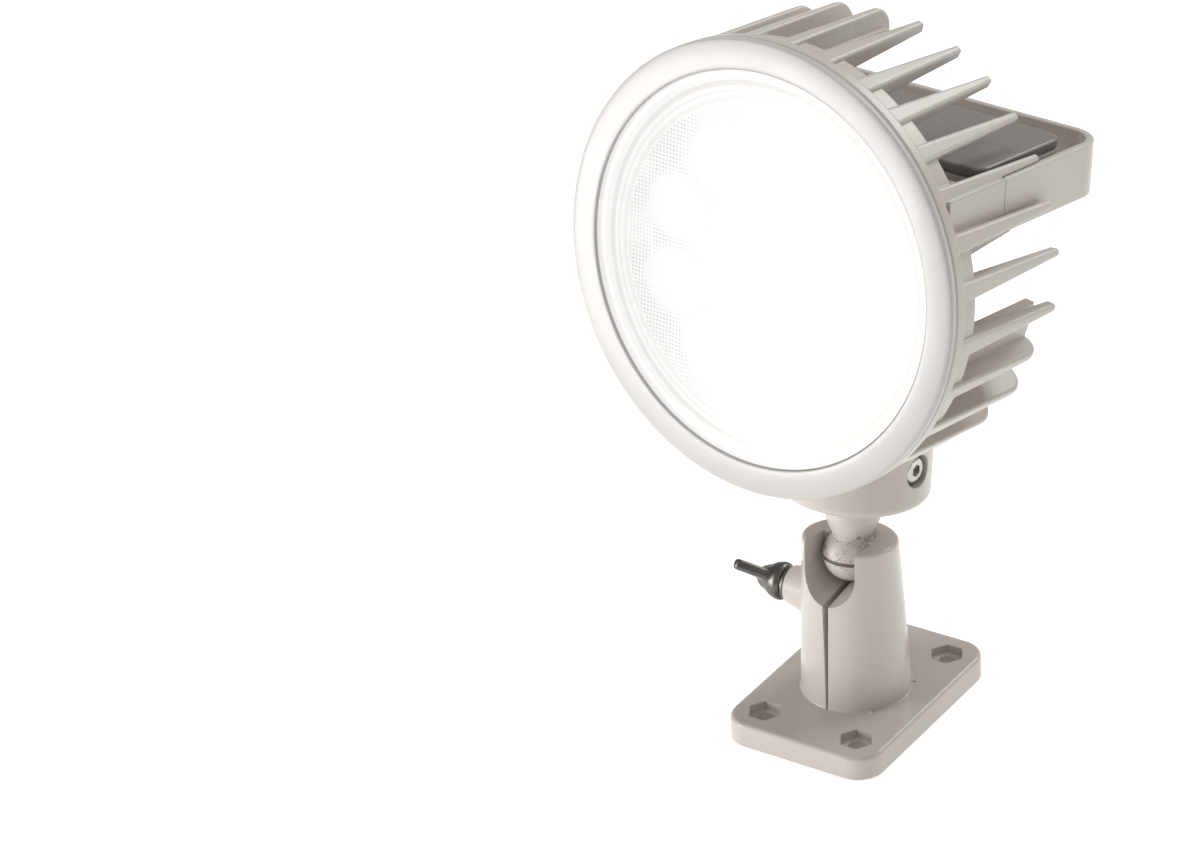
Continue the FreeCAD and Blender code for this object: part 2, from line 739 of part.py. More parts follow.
def make_lug(side, name):
    """One side's wall, shelf and webs that carry the strap."""
    wall = block(f"lug_wall_{name}", either_side(side, "strap_half_width - lug_wall", "strap_half_width"),
                 ("lug_front - 0.5", "strap_joint - 0.1"), ("lug_bottom", "strap_top"))
    ledge = "strap_bottom - strap_clearance"
    shelf = padded(f"lug_shelf_{name}", "YZ_Plane",
                   [("lug_front + 4", "shelf_bottom"), ("shelf_rear", "shelf_tip_bottom"),
                    ("shelf_rear", ledge), ("lug_front + 4", ledge)],
                   "strap_half_width - case_half_width - 2")
    bind(shelf, **{"Placement.Base.x": f"{side} * (case_half_width + strap_half_width) / 2"})
    web = block(f"lug_web_{name}", either_side(side, BOWL_RADIUS + " - 14", "strap_half_width - 2"),
                ("lug_front + 4", "tongue_front - 1"), ("strap_top - 3.5", "strap_top"))
    foot = block(f"lug_foot_{name}", either_side(side, BOWL_RADIUS + " - 12", "strap_half_width - 2"),
                 ("lug_front + 4", "bowl_floor_front - 2"), ("shelf_bottom + 1", "lug_bottom + 1"))
    return [wall, shelf, web, foot]


def make_drum():
    """The foot boss that takes the stem, with its rib up to the bowl."""
    barrel = rod("drum_barrel", "drum_radius", "drum_bottom - drum_top", at=("0", "front_reach", "-drum_bottom"))
    lower = rounded("drum_rounded", barrel, size("drum_edge"),
                    lambda edge: flat_along("Z", -size("drum_bottom"), edge))
    crown = solid("Cone", "drum_crown", at=("0", "front_reach", "-drum_top"), Radius1="drum_radius",
                  Radius2="drum_radius - drum_crown", Height="drum_crown")
    rib = padded("drum_rib", "YZ_Plane",
                 [("bowl_floor_rear - 4", "-drum_top - 4"), ("front_reach + 8", "-drum_top - 4"),
                  ("bowl_floor_rear + 3", f"-{BOWL_RADIUS} / 2"), ("bowl_floor_rear - 4", f"-{BOWL_RADIUS} / 2")],
                 "drum_rib_width")
    return [lower, crown, rib]


def drum_tools():
    centre = "cross_screw_drop"
    clearance = "shank_radius + seat_clearance"
    return [rod("shank_bore", clearance, "shank_length + 0.6", at=("0", "front_reach", "-drum_bottom")),
            rod("cross_bore", "cross_hole_radius", "drum_radius * 2 + 4",
                at=("-drum_radius - 2", "front_reach", "-" + centre), along="X"),
            rod("cross_pocket", "cross_pocket_radius", "drum_radius", at=("cross_seat", "front_reach", "-" + centre),
                along="X"),
            hexagon("nut_pocket", "cross_nut_flats + 0.2", "drum_radius",
                    at=("-drum_radius * 2 + cross_nut_thickness", "front_reach", "-" + centre), along="X")]


def strap_pocket(side, name):
    """Room for the strap between the fins, with a running gap all round."""
    across = either_side(side, "strap_half_width - lug_wall * 2", "strap_half_width + strap_clearance")
    return block(f"strap_pocket_{name}", across, ("strap_joint - 0.1", "strap_rear"),
                 ("strap_bottom - strap_clearance", "strap_top + strap_clearance"))


def case_screw_spots():
    return [(across, up) for across in ("-case_screw_x", "case_screw_x")
            for up in ("case_screw_low", "case_screw_high")]


def board_screw_spots():
    circle = f"({BOARD_RADIUS} - board_screw_inset)"
    return [(f"{circle} * cos({angle})", f"{circle} * sin({angle})") for angle in BOARD_SCREW_ANGLES]


def ring_spot(angle):
    """A place on the circle of bezel screws."""
    return (f"{SCREW_CIRCLE} * cos({angle})", f"{SCREW_CIRCLE} * sin({angle})")


def strap_screw_spots():
    return [f"(strap_bottom + strap_top) / 2 - 0.9 + {step} * strap_screw_spacing / 2" for step in (-1, 1)]


def housing_screw_holes():
    holes = []
    for number, (across, up) in enumerate(case_screw_spots()):
        holes.append(rod(f"case_screw_hole_{number}", "case_screw_radius + 0.05", "bowl_floor_rear",
                         at=(across, "bowl_floor_front + 1.2", up), along="Y"))
    for number, (across, up) in enumerate(board_screw_spots()):
        holes.append(rod(f"board_screw_hole_{number}", "small_screw_radius + 0.05", "4.2",
                         at=(across, "bowl_floor_front - 0.4", up), along="Y"))
    for number, angle in enumerate(BEZEL_SCREW_ANGLES):
        across, up = ring_spot(angle)
        holes.append(rod(f"bezel_screw_hole_{number}", "small_screw_radius + 0.15", "ring_rear",
                         at=(across, "bezel_depth - 0.5", up), along="Y"))
        holes.append(rod(f"bezel_screw_pocket_{number}", "small_head_radius + head_clearance",
                         "small_head_height + 2", at=(across, BEZEL_SCREW_SEAT, up), along="Y"))
    for side in (-1, 1):
        for number, up in enumerate(strap_screw_spots()):
            start = "strap_half_width - lug_wall - 0.5" if side > 0 else "-strap_half_width + 1.0"
            name = f"strap_screw_hole_{number}_{'right' if side > 0 else 'left'}"
            holes.append(rod(name, "strap_screw_radius + 0.05", "lug_wall - 0.5",
                             at=(start, "strap_screw_depth", up), along="X"))
    holes.append(rod("wire_hole", "grommet_radius + 0.05", "bowl_floor_rear",
                     at=("0", "bowl_floor_front - 1", "wire_height"), along="Y"))
    return holes


def make_housing():
    pieces = [make_ring_and_bowl()]
    for number, angle in enumerate([*RIGHT_FIN_ANGLES, *LEFT_FIN_ANGLES, *both_sides(SIDE_FIN_ANGLES)]):
        pieces.append(make_fin(f"long_{number}", angle, "fin_height"))
    for number, angle in enumerate(both_sides(SHORT_FIN_ANGLES)):
        pieces.append(make_fin(f"short_{number}", angle, "short_fin_height"))
    for number, angle in enumerate(TOP_BLADE_ANGLES):
        pieces.append(make_blade(f"top_{number}", angle, TOP_SHELL, "top_blade_rear"))
    for number, angle in enumerate(both_sides((SIDE_BLADE_ANGLE,))):
        pieces.append(make_blade(f"side_{number}", angle, BOTTOM_SHELL, "side_blade_rear"))
    for number, angle in enumerate(both_sides(BOTTOM_BLADE_ANGLES)):
        pieces.append(make_blade(f"bottom_{number}", angle, BOTTOM_SHELL, "bottom_blade_rear"))
    pieces.append(make_shell("top_shell", TOP_SHELL, "top_shell_rear",
                             TOP_BLADE_ANGLES[1], TOP_BLADE_ANGLES[2] - TOP_BLADE_ANGLES[0] + 6))
    pieces.append(make_shell("bottom_shell", BOTTOM_SHELL, "bottom_shell_rear", -90,
                             180 + 2 * SIDE_BLADE_ANGLE))
    highest = SIDE_FIN_ANGLES[-1]
    for number, middle in enumerate(both_sides(((highest + SIDE_BLADE_ANGLE) / 2,))):
        pieces.append(make_shell(f"side_shell_{number}", SIDE_SHELL, "side_shell_rear", middle,
                                 highest - SIDE_BLADE_ANGLE))
    pieces += make_lug(1, "right") + make_lug(-1, "left") + make_drum()
    casting = joined("casting", pieces)
    tools = [make_cavity(), strap_pocket(1, "right"), strap_pocket(-1, "left")]
    tools += drum_tools() + housing_screw_holes()
    finish("housing", trimmed("housing", casting, tools), head_place)


# Screws: every one stands on its seat, with its head on one side and its shank on the other
def moved(spot, along, text):
    """Move a place along one axis by a formula."""
    number = "XYZ".index(along)
    return tuple(f"({part}) + ({text})" if k == number else part for k, part in enumerate(spot))


def screw(name, seat, along, head_side, head, shank, socket):
    """A cap screw: head and shank as (radius, length), socket as its width across the flats."""
    reach = "0" if head_side > 0 else f"-({head[1]})"
    foot = f"-({shank[1]})" if head_side > 0 else "0"
    top = f"({head[1]}) * 0.4" if head_side > 0 else f"-({head[1]}) * 1.4"
    cap = rod(name + "_head", head[0], head[1], at=moved(seat, along, reach), along=along)
    bar = rod(name + "_shank", shank[0], shank[1], at=moved(seat, along, foot), along=along)
    hollow = hexagon(name + "_socket", socket, head[1], at=moved(seat, along, top), along=along)
    return trimmed(name, joined(name + "_blank", [cap, bar]), [hollow])


BEZEL_SCREW_SEAT = "(ring_rear - small_head_height - ring_edge)"
SMALL_HEAD = ("small_head_radius", "small_head_height")
LARGE_HEAD = ("strap_screw_radius * 1.8", "strap_screw_radius * 1.3")


# Bezel, lens and gasket
def make_bezel():
    slope = "bezel_crown * 0.6"
    lip = BEZEL_OPENING
    back = "bezel_depth"
    recess = LENS_RADIUS + " + fit_clearance"
    ring = lathed("bezel_ring", "XY_Plane", "V_Axis",
                  [(lip, "lens_front"), (lip, "0"), (lip + " + bezel_lip_edge", "-bezel_lip_edge"),
                   (SCREW_CIRCLE + " - 1", "-bezel_crown"),
                   (SCREW_CIRCLE + " + 1.6", "-bezel_crown"), ("bezel_radius - 2.2", "-" + slope),
                   ("bezel_radius - 0.6", "0"), ("bezel_radius", "bezel_edge"), ("bezel_radius", "bezel_flange"),
                   (SPIGOT_RADIUS, "bezel_flange"), (SPIGOT_RADIUS, back), (recess, back), (recess, "lens_front")])
    holes = []
    for number, angle in enumerate(BEZEL_SCREW_ANGLES):
        across, up = ring_spot(angle)
        holes.append(rod(f"bezel_thread_{number}", "small_screw_radius + 0.05", "bezel_depth",
                         at=(across, "bezel_flange + 0.2", up), along="Y"))
    finish("bezel", trimmed("bezel", ring, holes), head_place)


def make_bezel_screws():
    screws = []
    for number, angle in enumerate(BEZEL_SCREW_ANGLES):
        across, up = ring_spot(angle)
        screws.append(screw(f"bezel_screw_{number}", (across, BEZEL_SCREW_SEAT, up), "Y", 1, SMALL_HEAD,
                            ("small_screw_radius", BEZEL_SCREW_SEAT + " - bezel_flange - 0.4"), "2"))
    finish("bezel_screws", grouped("bezel_screws", screws), head_place)


def make_lens():
    """The front window, with fine raised steps round the field of cells."""
    front = "lens_front - lens_rise"
    proud, half_proud = front + " - lens_step", front + " - lens_step / 2"
    edge = BEZEL_OPENING + " - lens_edge_gap"
    outer = LENS_RADIUS + " - lens_border"
    middle, inner = outer + " - lens_step_width", outer + " - lens_step_width * 2"
    lens = lathed("lens", "XY_Plane", "V_Axis",
                  [("0", front), (inner, front), (inner, proud), (middle, proud), (middle, half_proud),
                   (outer, half_proud), (outer, front), (edge, front), (edge, "lens_front"),
                   (LENS_RADIUS, "lens_front"), (LENS_RADIUS, "bezel_depth"), ("0", "bezel_depth")])
    finish("lens", lens, head_place)


def make_lens_gasket():
    back = "bezel_depth + gasket_thickness"
    inner = LENS_RADIUS + " - gasket_width"
    gasket = lathed("lens_gasket", "XY_Plane", "V_Axis",
                    [(inner, "bezel_depth"), (LENS_RADIUS, "bezel_depth"), (LENS_RADIUS, back),
                     (inner, back)])
    finish("lens_gasket", gasket, head_place)


# Light engine
def light_spots():
    """Three places round the middle and nine near the rim."""
    inner = [("inner_optic_circle", angle) for angle in (90, 210, 330)]
    outer = [(f"({BOARD_RADIUS} - outer_optic_inset)", angle) for angle in range(0, 360, 40)]
    return [(f"{circle} * cos({angle})", f"{circle} * sin({angle})") for circle, angle in inner + outer]


BOARD_FRONT = "bowl_floor_front - pad_thickness - board_thickness"


def make_optic_tray():
    plate = rod("optic_plate", BOWL_RADIUS + " - fit_clearance", "optic_plate", at=("0", "optic_front", "0"), along="Y")
    pieces, hollows = [plate], []
    for number, (across, up) in enumerate(light_spots()):
        pieces.append(solid("Cone", f"optic_{number}", at=(across, "optic_front", up), along="Y",
                            Radius1="optic_mouth_radius", Radius2="optic_foot_radius",
                            Height=BOARD_FRONT + " - optic_front"))
        hollows.append(rod(f"optic_recess_{number}", "optic_recess_radius", "optic_recess_depth + 1",
                           at=(across, BOARD_FRONT + " - optic_recess_depth", up), along="Y"))
    tray = trimmed("optic_tray", joined("optic_blank", pieces), hollows)
    finish("optic_tray", tray, head_place)


def make_led_board():
    board = rod("board_disc", BOARD_RADIUS, "board_thickness", at=("0", BOARD_FRONT, "0"), along="Y")
    holes = [rod("board_wire_hole", "grommet_radius - 1", "board_thickness * 4",
                 at=("0", BOARD_FRONT + " - 1", "wire_height"), along="Y")]
    for number, (across, up) in enumerate(board_screw_spots()):
        holes.append(rod(f"board_hole_{number}", "small_screw_radius + 0.1", "board_thickness * 4",
                         at=(across, BOARD_FRONT + " - 1", up), along="Y"))
    finish("led_board", trimmed("led_board", board, holes), head_place)


def make_led_pad():
    """The thin heat pad between the board and the bowl's floor."""
    front = "bowl_floor_front - pad_thickness"
    pad = rod("pad_disc", BOARD_RADIUS + " - 0.5", "pad_thickness", at=("0", front, "0"), along="Y")
    holes = [rod("pad_wire_hole", "grommet_radius + 0.5", "board_thickness * 2",
                 at=("0", front + " - 1", "wire_height"), along="Y")]
    for number, (across, up) in enumerate(board_screw_spots()):
        holes.append(rod(f"pad_hole_{number}", "small_screw_radius + 0.3", "board_thickness * 2",
                         at=(across, front + " - 1", up), along="Y"))
    finish("led_pad", trimmed("led_pad", pad, holes), head_place)


def make_leds():
    lamps = [rod(f"led_{number}", "led_radius", "led_height", at=(across, BOARD_FRONT + " - led_height", up),
                 along="Y") for number, (across, up) in enumerate(light_spots())]
    finish("leds", grouped("leds", lamps), head_place)


def make_board_screws():
    screws = [screw(f"board_screw_{number}", (across, BOARD_FRONT, up), "Y", -1, SMALL_HEAD,
                    ("small_screw_radius", "5.5"), "2")
              for number, (across, up) in enumerate(board_screw_spots())]
    finish("board_screws", grouped("board_screws", screws), head_place)


def make_lamp_wires():
    wires = [rod(f"wire_{number}", "wire_radius", f"terminal_front - ({BOARD_FRONT})",
                 at=(f"{side} * wire_spacing / 2", BOARD_FRONT, "wire_height"), along="Y")
             for number, side in enumerate((-1, 1))]
    finish("lamp_wires", grouped("lamp_wires", wires), head_place)


def make_wire_grommet():
    """The sleeve that takes the wires from the bowl into the driver case."""
    length = "bowl_floor_rear - bowl_floor_front + case_wall + 0.4"
    sleeve = rod("grommet_sleeve", "grommet_radius", length, at=("0", "bowl_floor_front", "wire_height"),
                 along="Y")
    bore = rod("grommet_hollow", "grommet_bore", "bowl_floor_rear",
               at=("0", "bowl_floor_front - 1", "wire_height"), along="Y")
    finish("wire_grommet", trimmed("wire_grommet", sleeve, [bore]), head_place)


# Driver case
LID_BOTTOM = "case_top - lid_thickness"
CASE_FLOOR = "case_bottom + case_wall"


def tub(name, inset, low, high):
    """A box with rounded upright corners, set in from the case's outside by a size or zero."""
    wide = f"case_half_width - {inset}"
    box = block(name + "_box", (f"-({wide})", wide),
                (f"bowl_floor_rear + {inset}", f"case_rear - {inset}"), (low, high))
    corner = size("case_corner") - (size(inset) if inset in SIZES else 0)
    return rounded(name, box, corner, upright)


def lid_screw_spots():
    return [(across, deep) for across in ("-lid_screw_x", "lid_screw_x")
            for deep in ("bowl_floor_rear + lid_screw_inset", "case_rear - lid_screw_inset")]


def standoff_spots():
    return [(across, deep) for across in ("-driver_left + standoff_inset", "driver_right - standoff_inset")
            for deep in ("driver_front + standoff_inset", "driver_rear - standoff_inset")]


def make_driver_case():
    shell = trimmed("case_shell", tub("case_outside", "0", "case_bottom", LID_BOTTOM + " - lid_gasket_thickness"),
                    [tub("case_inside", "case_wall", CASE_FLOOR, "case_top")])
    pieces = [shell]
    holes = []
    for number, (across, deep) in enumerate(lid_screw_spots()):
        pieces.append(rod(f"lid_pillar_{number}", "pillar_radius",
                          f"{LID_BOTTOM} - lid_gasket_thickness - case_bottom - 1",
                          at=(across, deep, "case_bottom + 1")))
        holes.append(rod(f"pillar_hole_{number}", "small_screw_radius + head_clearance", "case_top - case_bottom",
                         at=(across, deep, "case_bottom")))
        holes.append(rod(f"pillar_pocket_{number}", "small_head_radius + head_clearance", "lid_screw_seat + 1",
                         at=(across, deep, "case_bottom - 1")))
    for number, (across, deep) in enumerate(standoff_spots()):
        pieces.append(rod(f"standoff_{number}", "standoff_radius", "driver_level - case_bottom - 1",
                          at=(across, deep, "case_bottom + 1")))
        holes.append(rod(f"standoff_thread_{number}", "small_screw_radius + 0.05", "14",
                         at=(across, deep, "driver_level - 4")))
    for number, (across, up) in enumerate(case_screw_spots()):
        holes.append(rod(f"case_hole_{number}", "case_screw_radius + 0.1", "case_wall + 2",
                         at=(across, "bowl_floor_rear - 1", up), along="Y"))
    holes.append(rod("case_wire_hole", "grommet_radius + 0.05", "case_wall + 2",
                     at=("0", "bowl_floor_rear - 1", "wire_height"), along="Y"))
    holes.append(rod("gland_hole", "gland_thread_radius + 0.05", "case_wall + 2",
                     at=("-gland_x", "gland_depth", "case_bottom - 1")))
    holes.append(rod("vent_hole", "vent_thread_radius + 0.05", "case_wall + 2",
                     at=("vent_x", "gland_depth", "case_bottom - 1")))
    finish("driver_case", trimmed("driver_case", joined("case_blank", pieces), holes), head_place)


def make_lid_gasket():
    low = LID_BOTTOM + " - lid_gasket_thickness"
    ring = trimmed("gasket_ring", tub("gasket_outside", "lid_gasket_inset", low, LID_BOTTOM),
                   [tub("gasket_inside", "case_wall", low + " - 1", "case_top")])
    collars = [rod(f"gasket_collar_{number}", "pillar_radius", "lid_gasket_thickness", at=(across, deep, low))
               for number, (across, deep) in enumerate(lid_screw_spots())]
    holes = [rod(f"gasket_hole_{number}", "small_screw_radius + 0.2", "5", at=(across, deep, low + " - 1"))
             for number, (across, deep) in enumerate(lid_screw_spots())]
    trim = trimmed("lid_gasket", joined("gasket_blank", [ring] + collars), holes)
    finish("lid_gasket", trim, head_place)


def make_driver_lid():
    top = size("case_top")
    lid = rounded("lid_blank", tub("lid_block", "0", LID_BOTTOM, "case_top"), size("case_edge"),
                  lambda edge: flat_along("Z", top, edge))
    holes = [rod(f"lid_thread_{number}", "small_screw_radius + 0.05", "lid_screw_bite + 1.2",
                 at=(across, deep, LID_BOTTOM + " - 1"))
             for number, (across, deep) in enumerate(lid_screw_spots())]
    finish("driver_lid", trimmed("driver_lid", lid, holes), head_place)


def make_lid_screws():
    """Screws from under the case, up through its pillars and into the lid."""
    seat = "case_bottom + lid_screw_seat"
    screws = [screw(f"lid_screw_{number}", (across, deep, seat), "Z", -1, SMALL_HEAD,
                    ("small_screw_radius", f"{LID_BOTTOM} + lid_screw_bite - ({seat})"), "2")
              for number, (across, deep) in enumerate(lid_screw_spots())]
    finish("lid_screws", grouped("lid_screws", screws), head_place)


def make_case_screws():
    seat = "bowl_floor_rear + case_wall"
    screws = [screw(f"case_screw_{number}", (across, seat, up), "Y", 1, LARGE_HEAD,
                    ("case_screw_radius", seat + " - bowl_floor_front - 1.4"), "3")
              for number, (across, up) in enumerate(case_screw_spots())]
    finish("case_screws", grouped("case_screws", screws), head_place)


def make_driver_board():
    board = block("driver_plate", ("-driver_left", "driver_right"), ("driver_front", "driver_rear"),
                  ("driver_level", "driver_level + board_thickness"))
    holes = [rod(f"driver_hole_{number}", "small_screw_radius + 0.1", "board_thickness * 3",
                 at=(across, deep, "driver_level - 1"))
             for number, (across, deep) in enumerate(standoff_spots())]
    finish("driver_board", trimmed("driver_board", board, holes), head_place)


def make_driver_screws():
    screws = [screw(f"driver_screw_{number}", (across, deep, "driver_level + board_thickness"), "Z", 1, SMALL_HEAD,
                    ("small_screw_radius", "board_thickness + 3.5"), "2")
              for number, (across, deep) in enumerate(standoff_spots())]
    finish("driver_screws", grouped("driver_screws", screws), head_place)


def make_driver_parts():
    """Terminal block, coil, capacitors and a power switch on the driver board."""
    top = "driver_level + board_thickness"
    terminal = block("terminal_block", ("-terminal_half_width", "terminal_half_width"),
                     ("terminal_front", "terminal_front + 8"), (top, "wire_height + 4"))
    coil = trimmed("coil", rod("coil_drum", "8", "9", at=("driver_right - 20", "driver_front + 20", top)),
                   [rod("coil_hole", "3", "9", at=("driver_right - 20", "driver_front + 20", top + " + 2"))])
    cans = [rod(f"capacitor_{number}", "4", "11", at=(f"-driver_left + {8 + 11 * number}", "driver_rear - 12", top))
            for number in range(2)]
    switch = block("power_switch", ("driver_right - 40", "driver_right - 30"),
                   ("driver_rear - 20", "driver_rear - 12"), (top, top + " + 2.4"))
    finish("driver_parts", grouped("driver_parts", [terminal, coil, switch] + cans), head_place)


# Cable entry and vent, under the case
def under_case(name, radius, low, high):
    """A round piece on the cable entry's axis, between two depths below the case."""
    return rod(name, radius, f"({high}) - ({low})", at=("-gland_x", "gland_depth", f"case_bottom + ({low})"))


def make_gland_body():
    nut_top = "case_wall + gland_nut_height + 1"
    flats = hexagon("gland_flats", "gland_hex", "gland_hex_height",
                    at=("-gland_x", "gland_depth", "case_bottom - gland_hex_height"))
    thread = under_case("gland_thread", "gland_thread_radius", "-gland_hex_height", nut_top)
    spigot = under_case("gland_spigot", "gland_thread_radius", "-gland_hex_height - gland_spigot",
                        "-gland_hex_height")
    seat = under_case("gland_seat", "gland_seal_radius + 0.05", "-gland_hex_height - gland_spigot - 1",
                      "-gland_hex_height + 2")
    bore = under_case("gland_way", "gland_bore + 0.6", "-gland_hex_height", nut_top + " + 1")
    body = trimmed("gland_body", joined("gland_blank", [flats, thread, spigot]), [seat, bore])
    finish("gland_body", body, head_place)


def make_gland_nut():
    nut = hexagon("gland_nut_blank", "gland_hex", "gland_nut_height", at=("-gland_x", "gland_depth", CASE_FLOOR))
    bore = under_case("gland_nut_bore", "gland_thread_radius + 0.05", "case_wall - 1",
                      "case_wall + gland_nut_height + 1")
    finish("gland_nut", trimmed("gland_nut", nut, [bore]), head_place)


def make_gland_cap():
    top = "-gland_hex_height - 0.1"
    low = "-gland_hex_height - gland_cap_height"
    cup = under_case("cap_cup", "gland_cap_radius", low, top)
    foot = size("case_bottom") - size("gland_hex_height") - size("gland_cap_height")
    softer = rounded("cap_blank", cup, size("gland_cap_wall") * 0.6, lambda edge: flat_along("Z", foot, edge))
    hollow = under_case("cap_hollow", "gland_thread_radius + 0.05", low + " + gland_cap_wall", "0")
    bore = under_case("cap_bore", "gland_bore + 0.2", low + " - 1", "0")
    finish("gland_cap", trimmed("gland_cap", softer, [hollow, bore]), head_place)


def make_gland_seal():
    low = "-gland_hex_height - gland_cap_height + gland_cap_wall"
    high = "-gland_hex_height + 2"
    tube = under_case("seal_tube", "gland_seal_radius", low, high)
    bore = under_case("seal_bore", "gland_bore", low + " - 1", high + " + 1")
    finish("gland_seal", trimmed("gland_seal", tube, [bore]), head_place)


def make_vent_plug():
    spot = ("vent_x", "gland_depth")
    cap = rod("vent_cap", "vent_cap_radius", "vent_cap_height", at=(*spot, "case_bottom - vent_cap_height"))
    foot = size("case_bottom") - size("vent_cap_height")
    softer = rounded("vent_rounded", cap, size("vent_cap_height") * 0.3, lambda edge: flat_along("Z", foot, edge))
    thread = rod("vent_thread", "vent_thread_radius", "case_wall + 2.5", at=(*spot, "case_bottom"))
    finish("vent_plug", joined("vent_plug", [softer, thread]), head_place)


# Rear strap, cross screw and nut
def make_strap():
    inside = "strap_half_width - strap_thickness"
    band = block("strap_block", ("-strap_half_width", "strap_half_width"),
                 ("strap_joint + 0.1", "strap_rear"), ("strap_bottom", "strap_top"))
    outer = rounded("strap_outside", band, size("strap_corner"),
                    lambda edge: upright(edge) and edge.BoundBox.YMin > size("strap_joint") + 1)
    well = block("strap_well", (f"-({inside})", inside), ("strap_joint - 5", "strap_rear - strap_thickness"),
                 ("strap_bottom - 1", "strap_top + 1"))
    inner = rounded("strap_inside", well, size("strap_corner") - size("strap_thickness"),
                    lambda edge: upright(edge) and edge.BoundBox.YMin > size("strap_joint"))
    bent = trimmed("strap_bent", outer, [inner])
    levels = (size("strap_bottom"), size("strap_top"))
    softer = rounded("strap_soft", bent, size("strap_edge"),
                     lambda edge: any(flat_along("Z", level, edge) for level in levels)
                     and edge.BoundBox.YMax > size("strap_joint") + 1)
    pieces, holes = [softer], []
    for side, name in ((1, "right"), (-1, "left")):
        thick = either_side(side, "strap_half_width - lug_wall - strap_thickness", "strap_half_width - 1")
        pieces.append(block(f"strap_joint_{name}", thick, ("strap_joint + 0.1", "strap_joint + 5"),
                            ("strap_bottom + 1", "strap_top - 1")))
        thin = either_side(side, "strap_half_width - lug_wall - strap_thickness",
                            "strap_half_width - lug_wall - 0.05")
        pieces.append(block(f"strap_tongue_{name}", thin, ("tongue_front", "strap_joint + 2"),
                            ("strap_bottom + 1.2", "strap_top - 4")))
        for number, up in enumerate(strap_screw_spots()):
            start = either_side(side, "strap_half_width - lug_wall - strap_thickness - 1",
                                 "strap_half_width - lug_wall + 1")
            holes.append(rod(f"tongue_hole_{number}_{name}", "strap_screw_radius + 0.1", "strap_thickness + 2",
                             at=(start[0], "strap_screw_depth", up), along="X"))
    finish("strap", trimmed("strap", joined("strap_blank", pieces), holes), head_place)


def make_strap_screws():
    screws = []
    for side, name in ((1, "right"), (-1, "left")):
        seat = f"{side} * (strap_half_width - lug_wall - strap_thickness)"
        for number, up in enumerate(strap_screw_spots()):
            screws.append(screw(f"strap_screw_{number}_{name}", (seat, "strap_screw_depth", up), "X", -side,
                                LARGE_HEAD, ("strap_screw_radius", "strap_thickness + lug_wall - 1.2"), "3"))
    finish("strap_screws", grouped("strap_screws", screws), head_place)


def make_cross_screw():
    low = "-cross_screw_drop"
    head = rod("cross_head", "cross_head_radius", "cross_head_height", at=("cross_seat", "front_reach", low), along="X")
    face = size("cross_seat") + size("cross_head_height")
    button = rounded("cross_button", head, size("cross_head_height") * 0.6, lambda edge: flat_along("X", face, edge))
    shank = rod("cross_shank", "cross_thread_radius", "cross_seat + drum_radius - 1",
                at=("-drum_radius + 1", "front_reach", low), along="X")
    socket = hexagon("cross_socket", "cross_socket_flats", "cross_head_height",
                     at=("cross_seat + cross_head_height * 0.35", "front_reach", low), along="X")
    whole = trimmed("cross_screw", joined("cross_blank", [button, shank]), [socket])
    finish("cross_screw", whole, head_place)


def make_cross_nut():
    at = ("-drum_radius", "front_reach", "-cross_screw_drop")
    nut = hexagon("cross_nut_blank", "cross_nut_flats", "cross_nut_thickness", at=at, along="X")
    bore = rod("cross_nut_bore", "cross_thread_radius + 0.05", "drum_radius",
               at=("-drum_radius - 1", "front_reach", "-cross_screw_drop"), along="X")
    finish("cross_nut", trimmed("cross_nut", nut, [bore]), head_place)


def make_everything():
    """Build every sub-part, from the foot up and from the front back."""
    for make in (make_mount_base, make_clamp_insert, make_clamp_washer, make_wing_screw,
                 make_ball_ring, make_ball_stud, make_housing, make_bezel, make_bezel_screws,
                 make_lens, make_lens_gasket, make_optic_tray, make_led_board, make_led_pad, make_leds,
                 make_board_screws, make_lamp_wires, make_wire_grommet, make_driver_case,
                 make_lid_gasket, make_driver_lid, make_lid_screws, make_case_screws,
                 make_driver_board, make_driver_screws, make_driver_parts, make_gland_body,
                 make_gland_nut, make_gland_cap, make_gland_seal, make_vent_plug, make_strap,
                 make_strap_screws, make_cross_screw, make_cross_nut):
        make()


def check_and_export():
    """Stop at anything invalid, then write one file for each sub-part."""
    doc.recompute()
    broken = [item.Name for item in doc.Objects if "Invalid" in item.State or "Error" in item.State]
    if broken:
        raise RuntimeError("not built: " + ", ".join(broken))
    os.makedirs("parts", exist_ok=True)
    for piece in finished_parts:
        if piece.Shape.isNull() or not piece.Shape.isValid():
            raise RuntimeError("bad shape: " + piece.Label)
        piece.Shape.exportStep(f"parts/{piece.Label}.step")
        print(piece.Label, len(piece.Shape.Solids), round(piece.Shape.Volume))


make_everything()
check_and_export()
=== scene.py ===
# %% [markdown]
# The part comes in as a fixed frame of named solids. Everything below dresses that frame:
# it never moves a solid, it only gives it a finish or puts a finer piece in its place.

# %% Load the frame
import math
import bmesh
import bpy
from mathutils import Matrix, Vector


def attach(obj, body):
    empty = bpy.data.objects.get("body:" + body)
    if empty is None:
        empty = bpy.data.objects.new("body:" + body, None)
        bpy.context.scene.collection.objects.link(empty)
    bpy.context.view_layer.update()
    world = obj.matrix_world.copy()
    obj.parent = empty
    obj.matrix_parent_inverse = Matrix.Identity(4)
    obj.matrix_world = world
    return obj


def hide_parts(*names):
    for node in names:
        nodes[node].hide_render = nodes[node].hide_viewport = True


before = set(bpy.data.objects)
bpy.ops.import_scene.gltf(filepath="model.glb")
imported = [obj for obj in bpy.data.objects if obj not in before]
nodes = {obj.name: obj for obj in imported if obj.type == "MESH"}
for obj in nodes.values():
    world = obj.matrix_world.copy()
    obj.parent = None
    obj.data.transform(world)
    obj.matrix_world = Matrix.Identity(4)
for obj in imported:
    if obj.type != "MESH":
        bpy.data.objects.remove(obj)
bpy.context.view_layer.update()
print("nodes:", len(nodes))

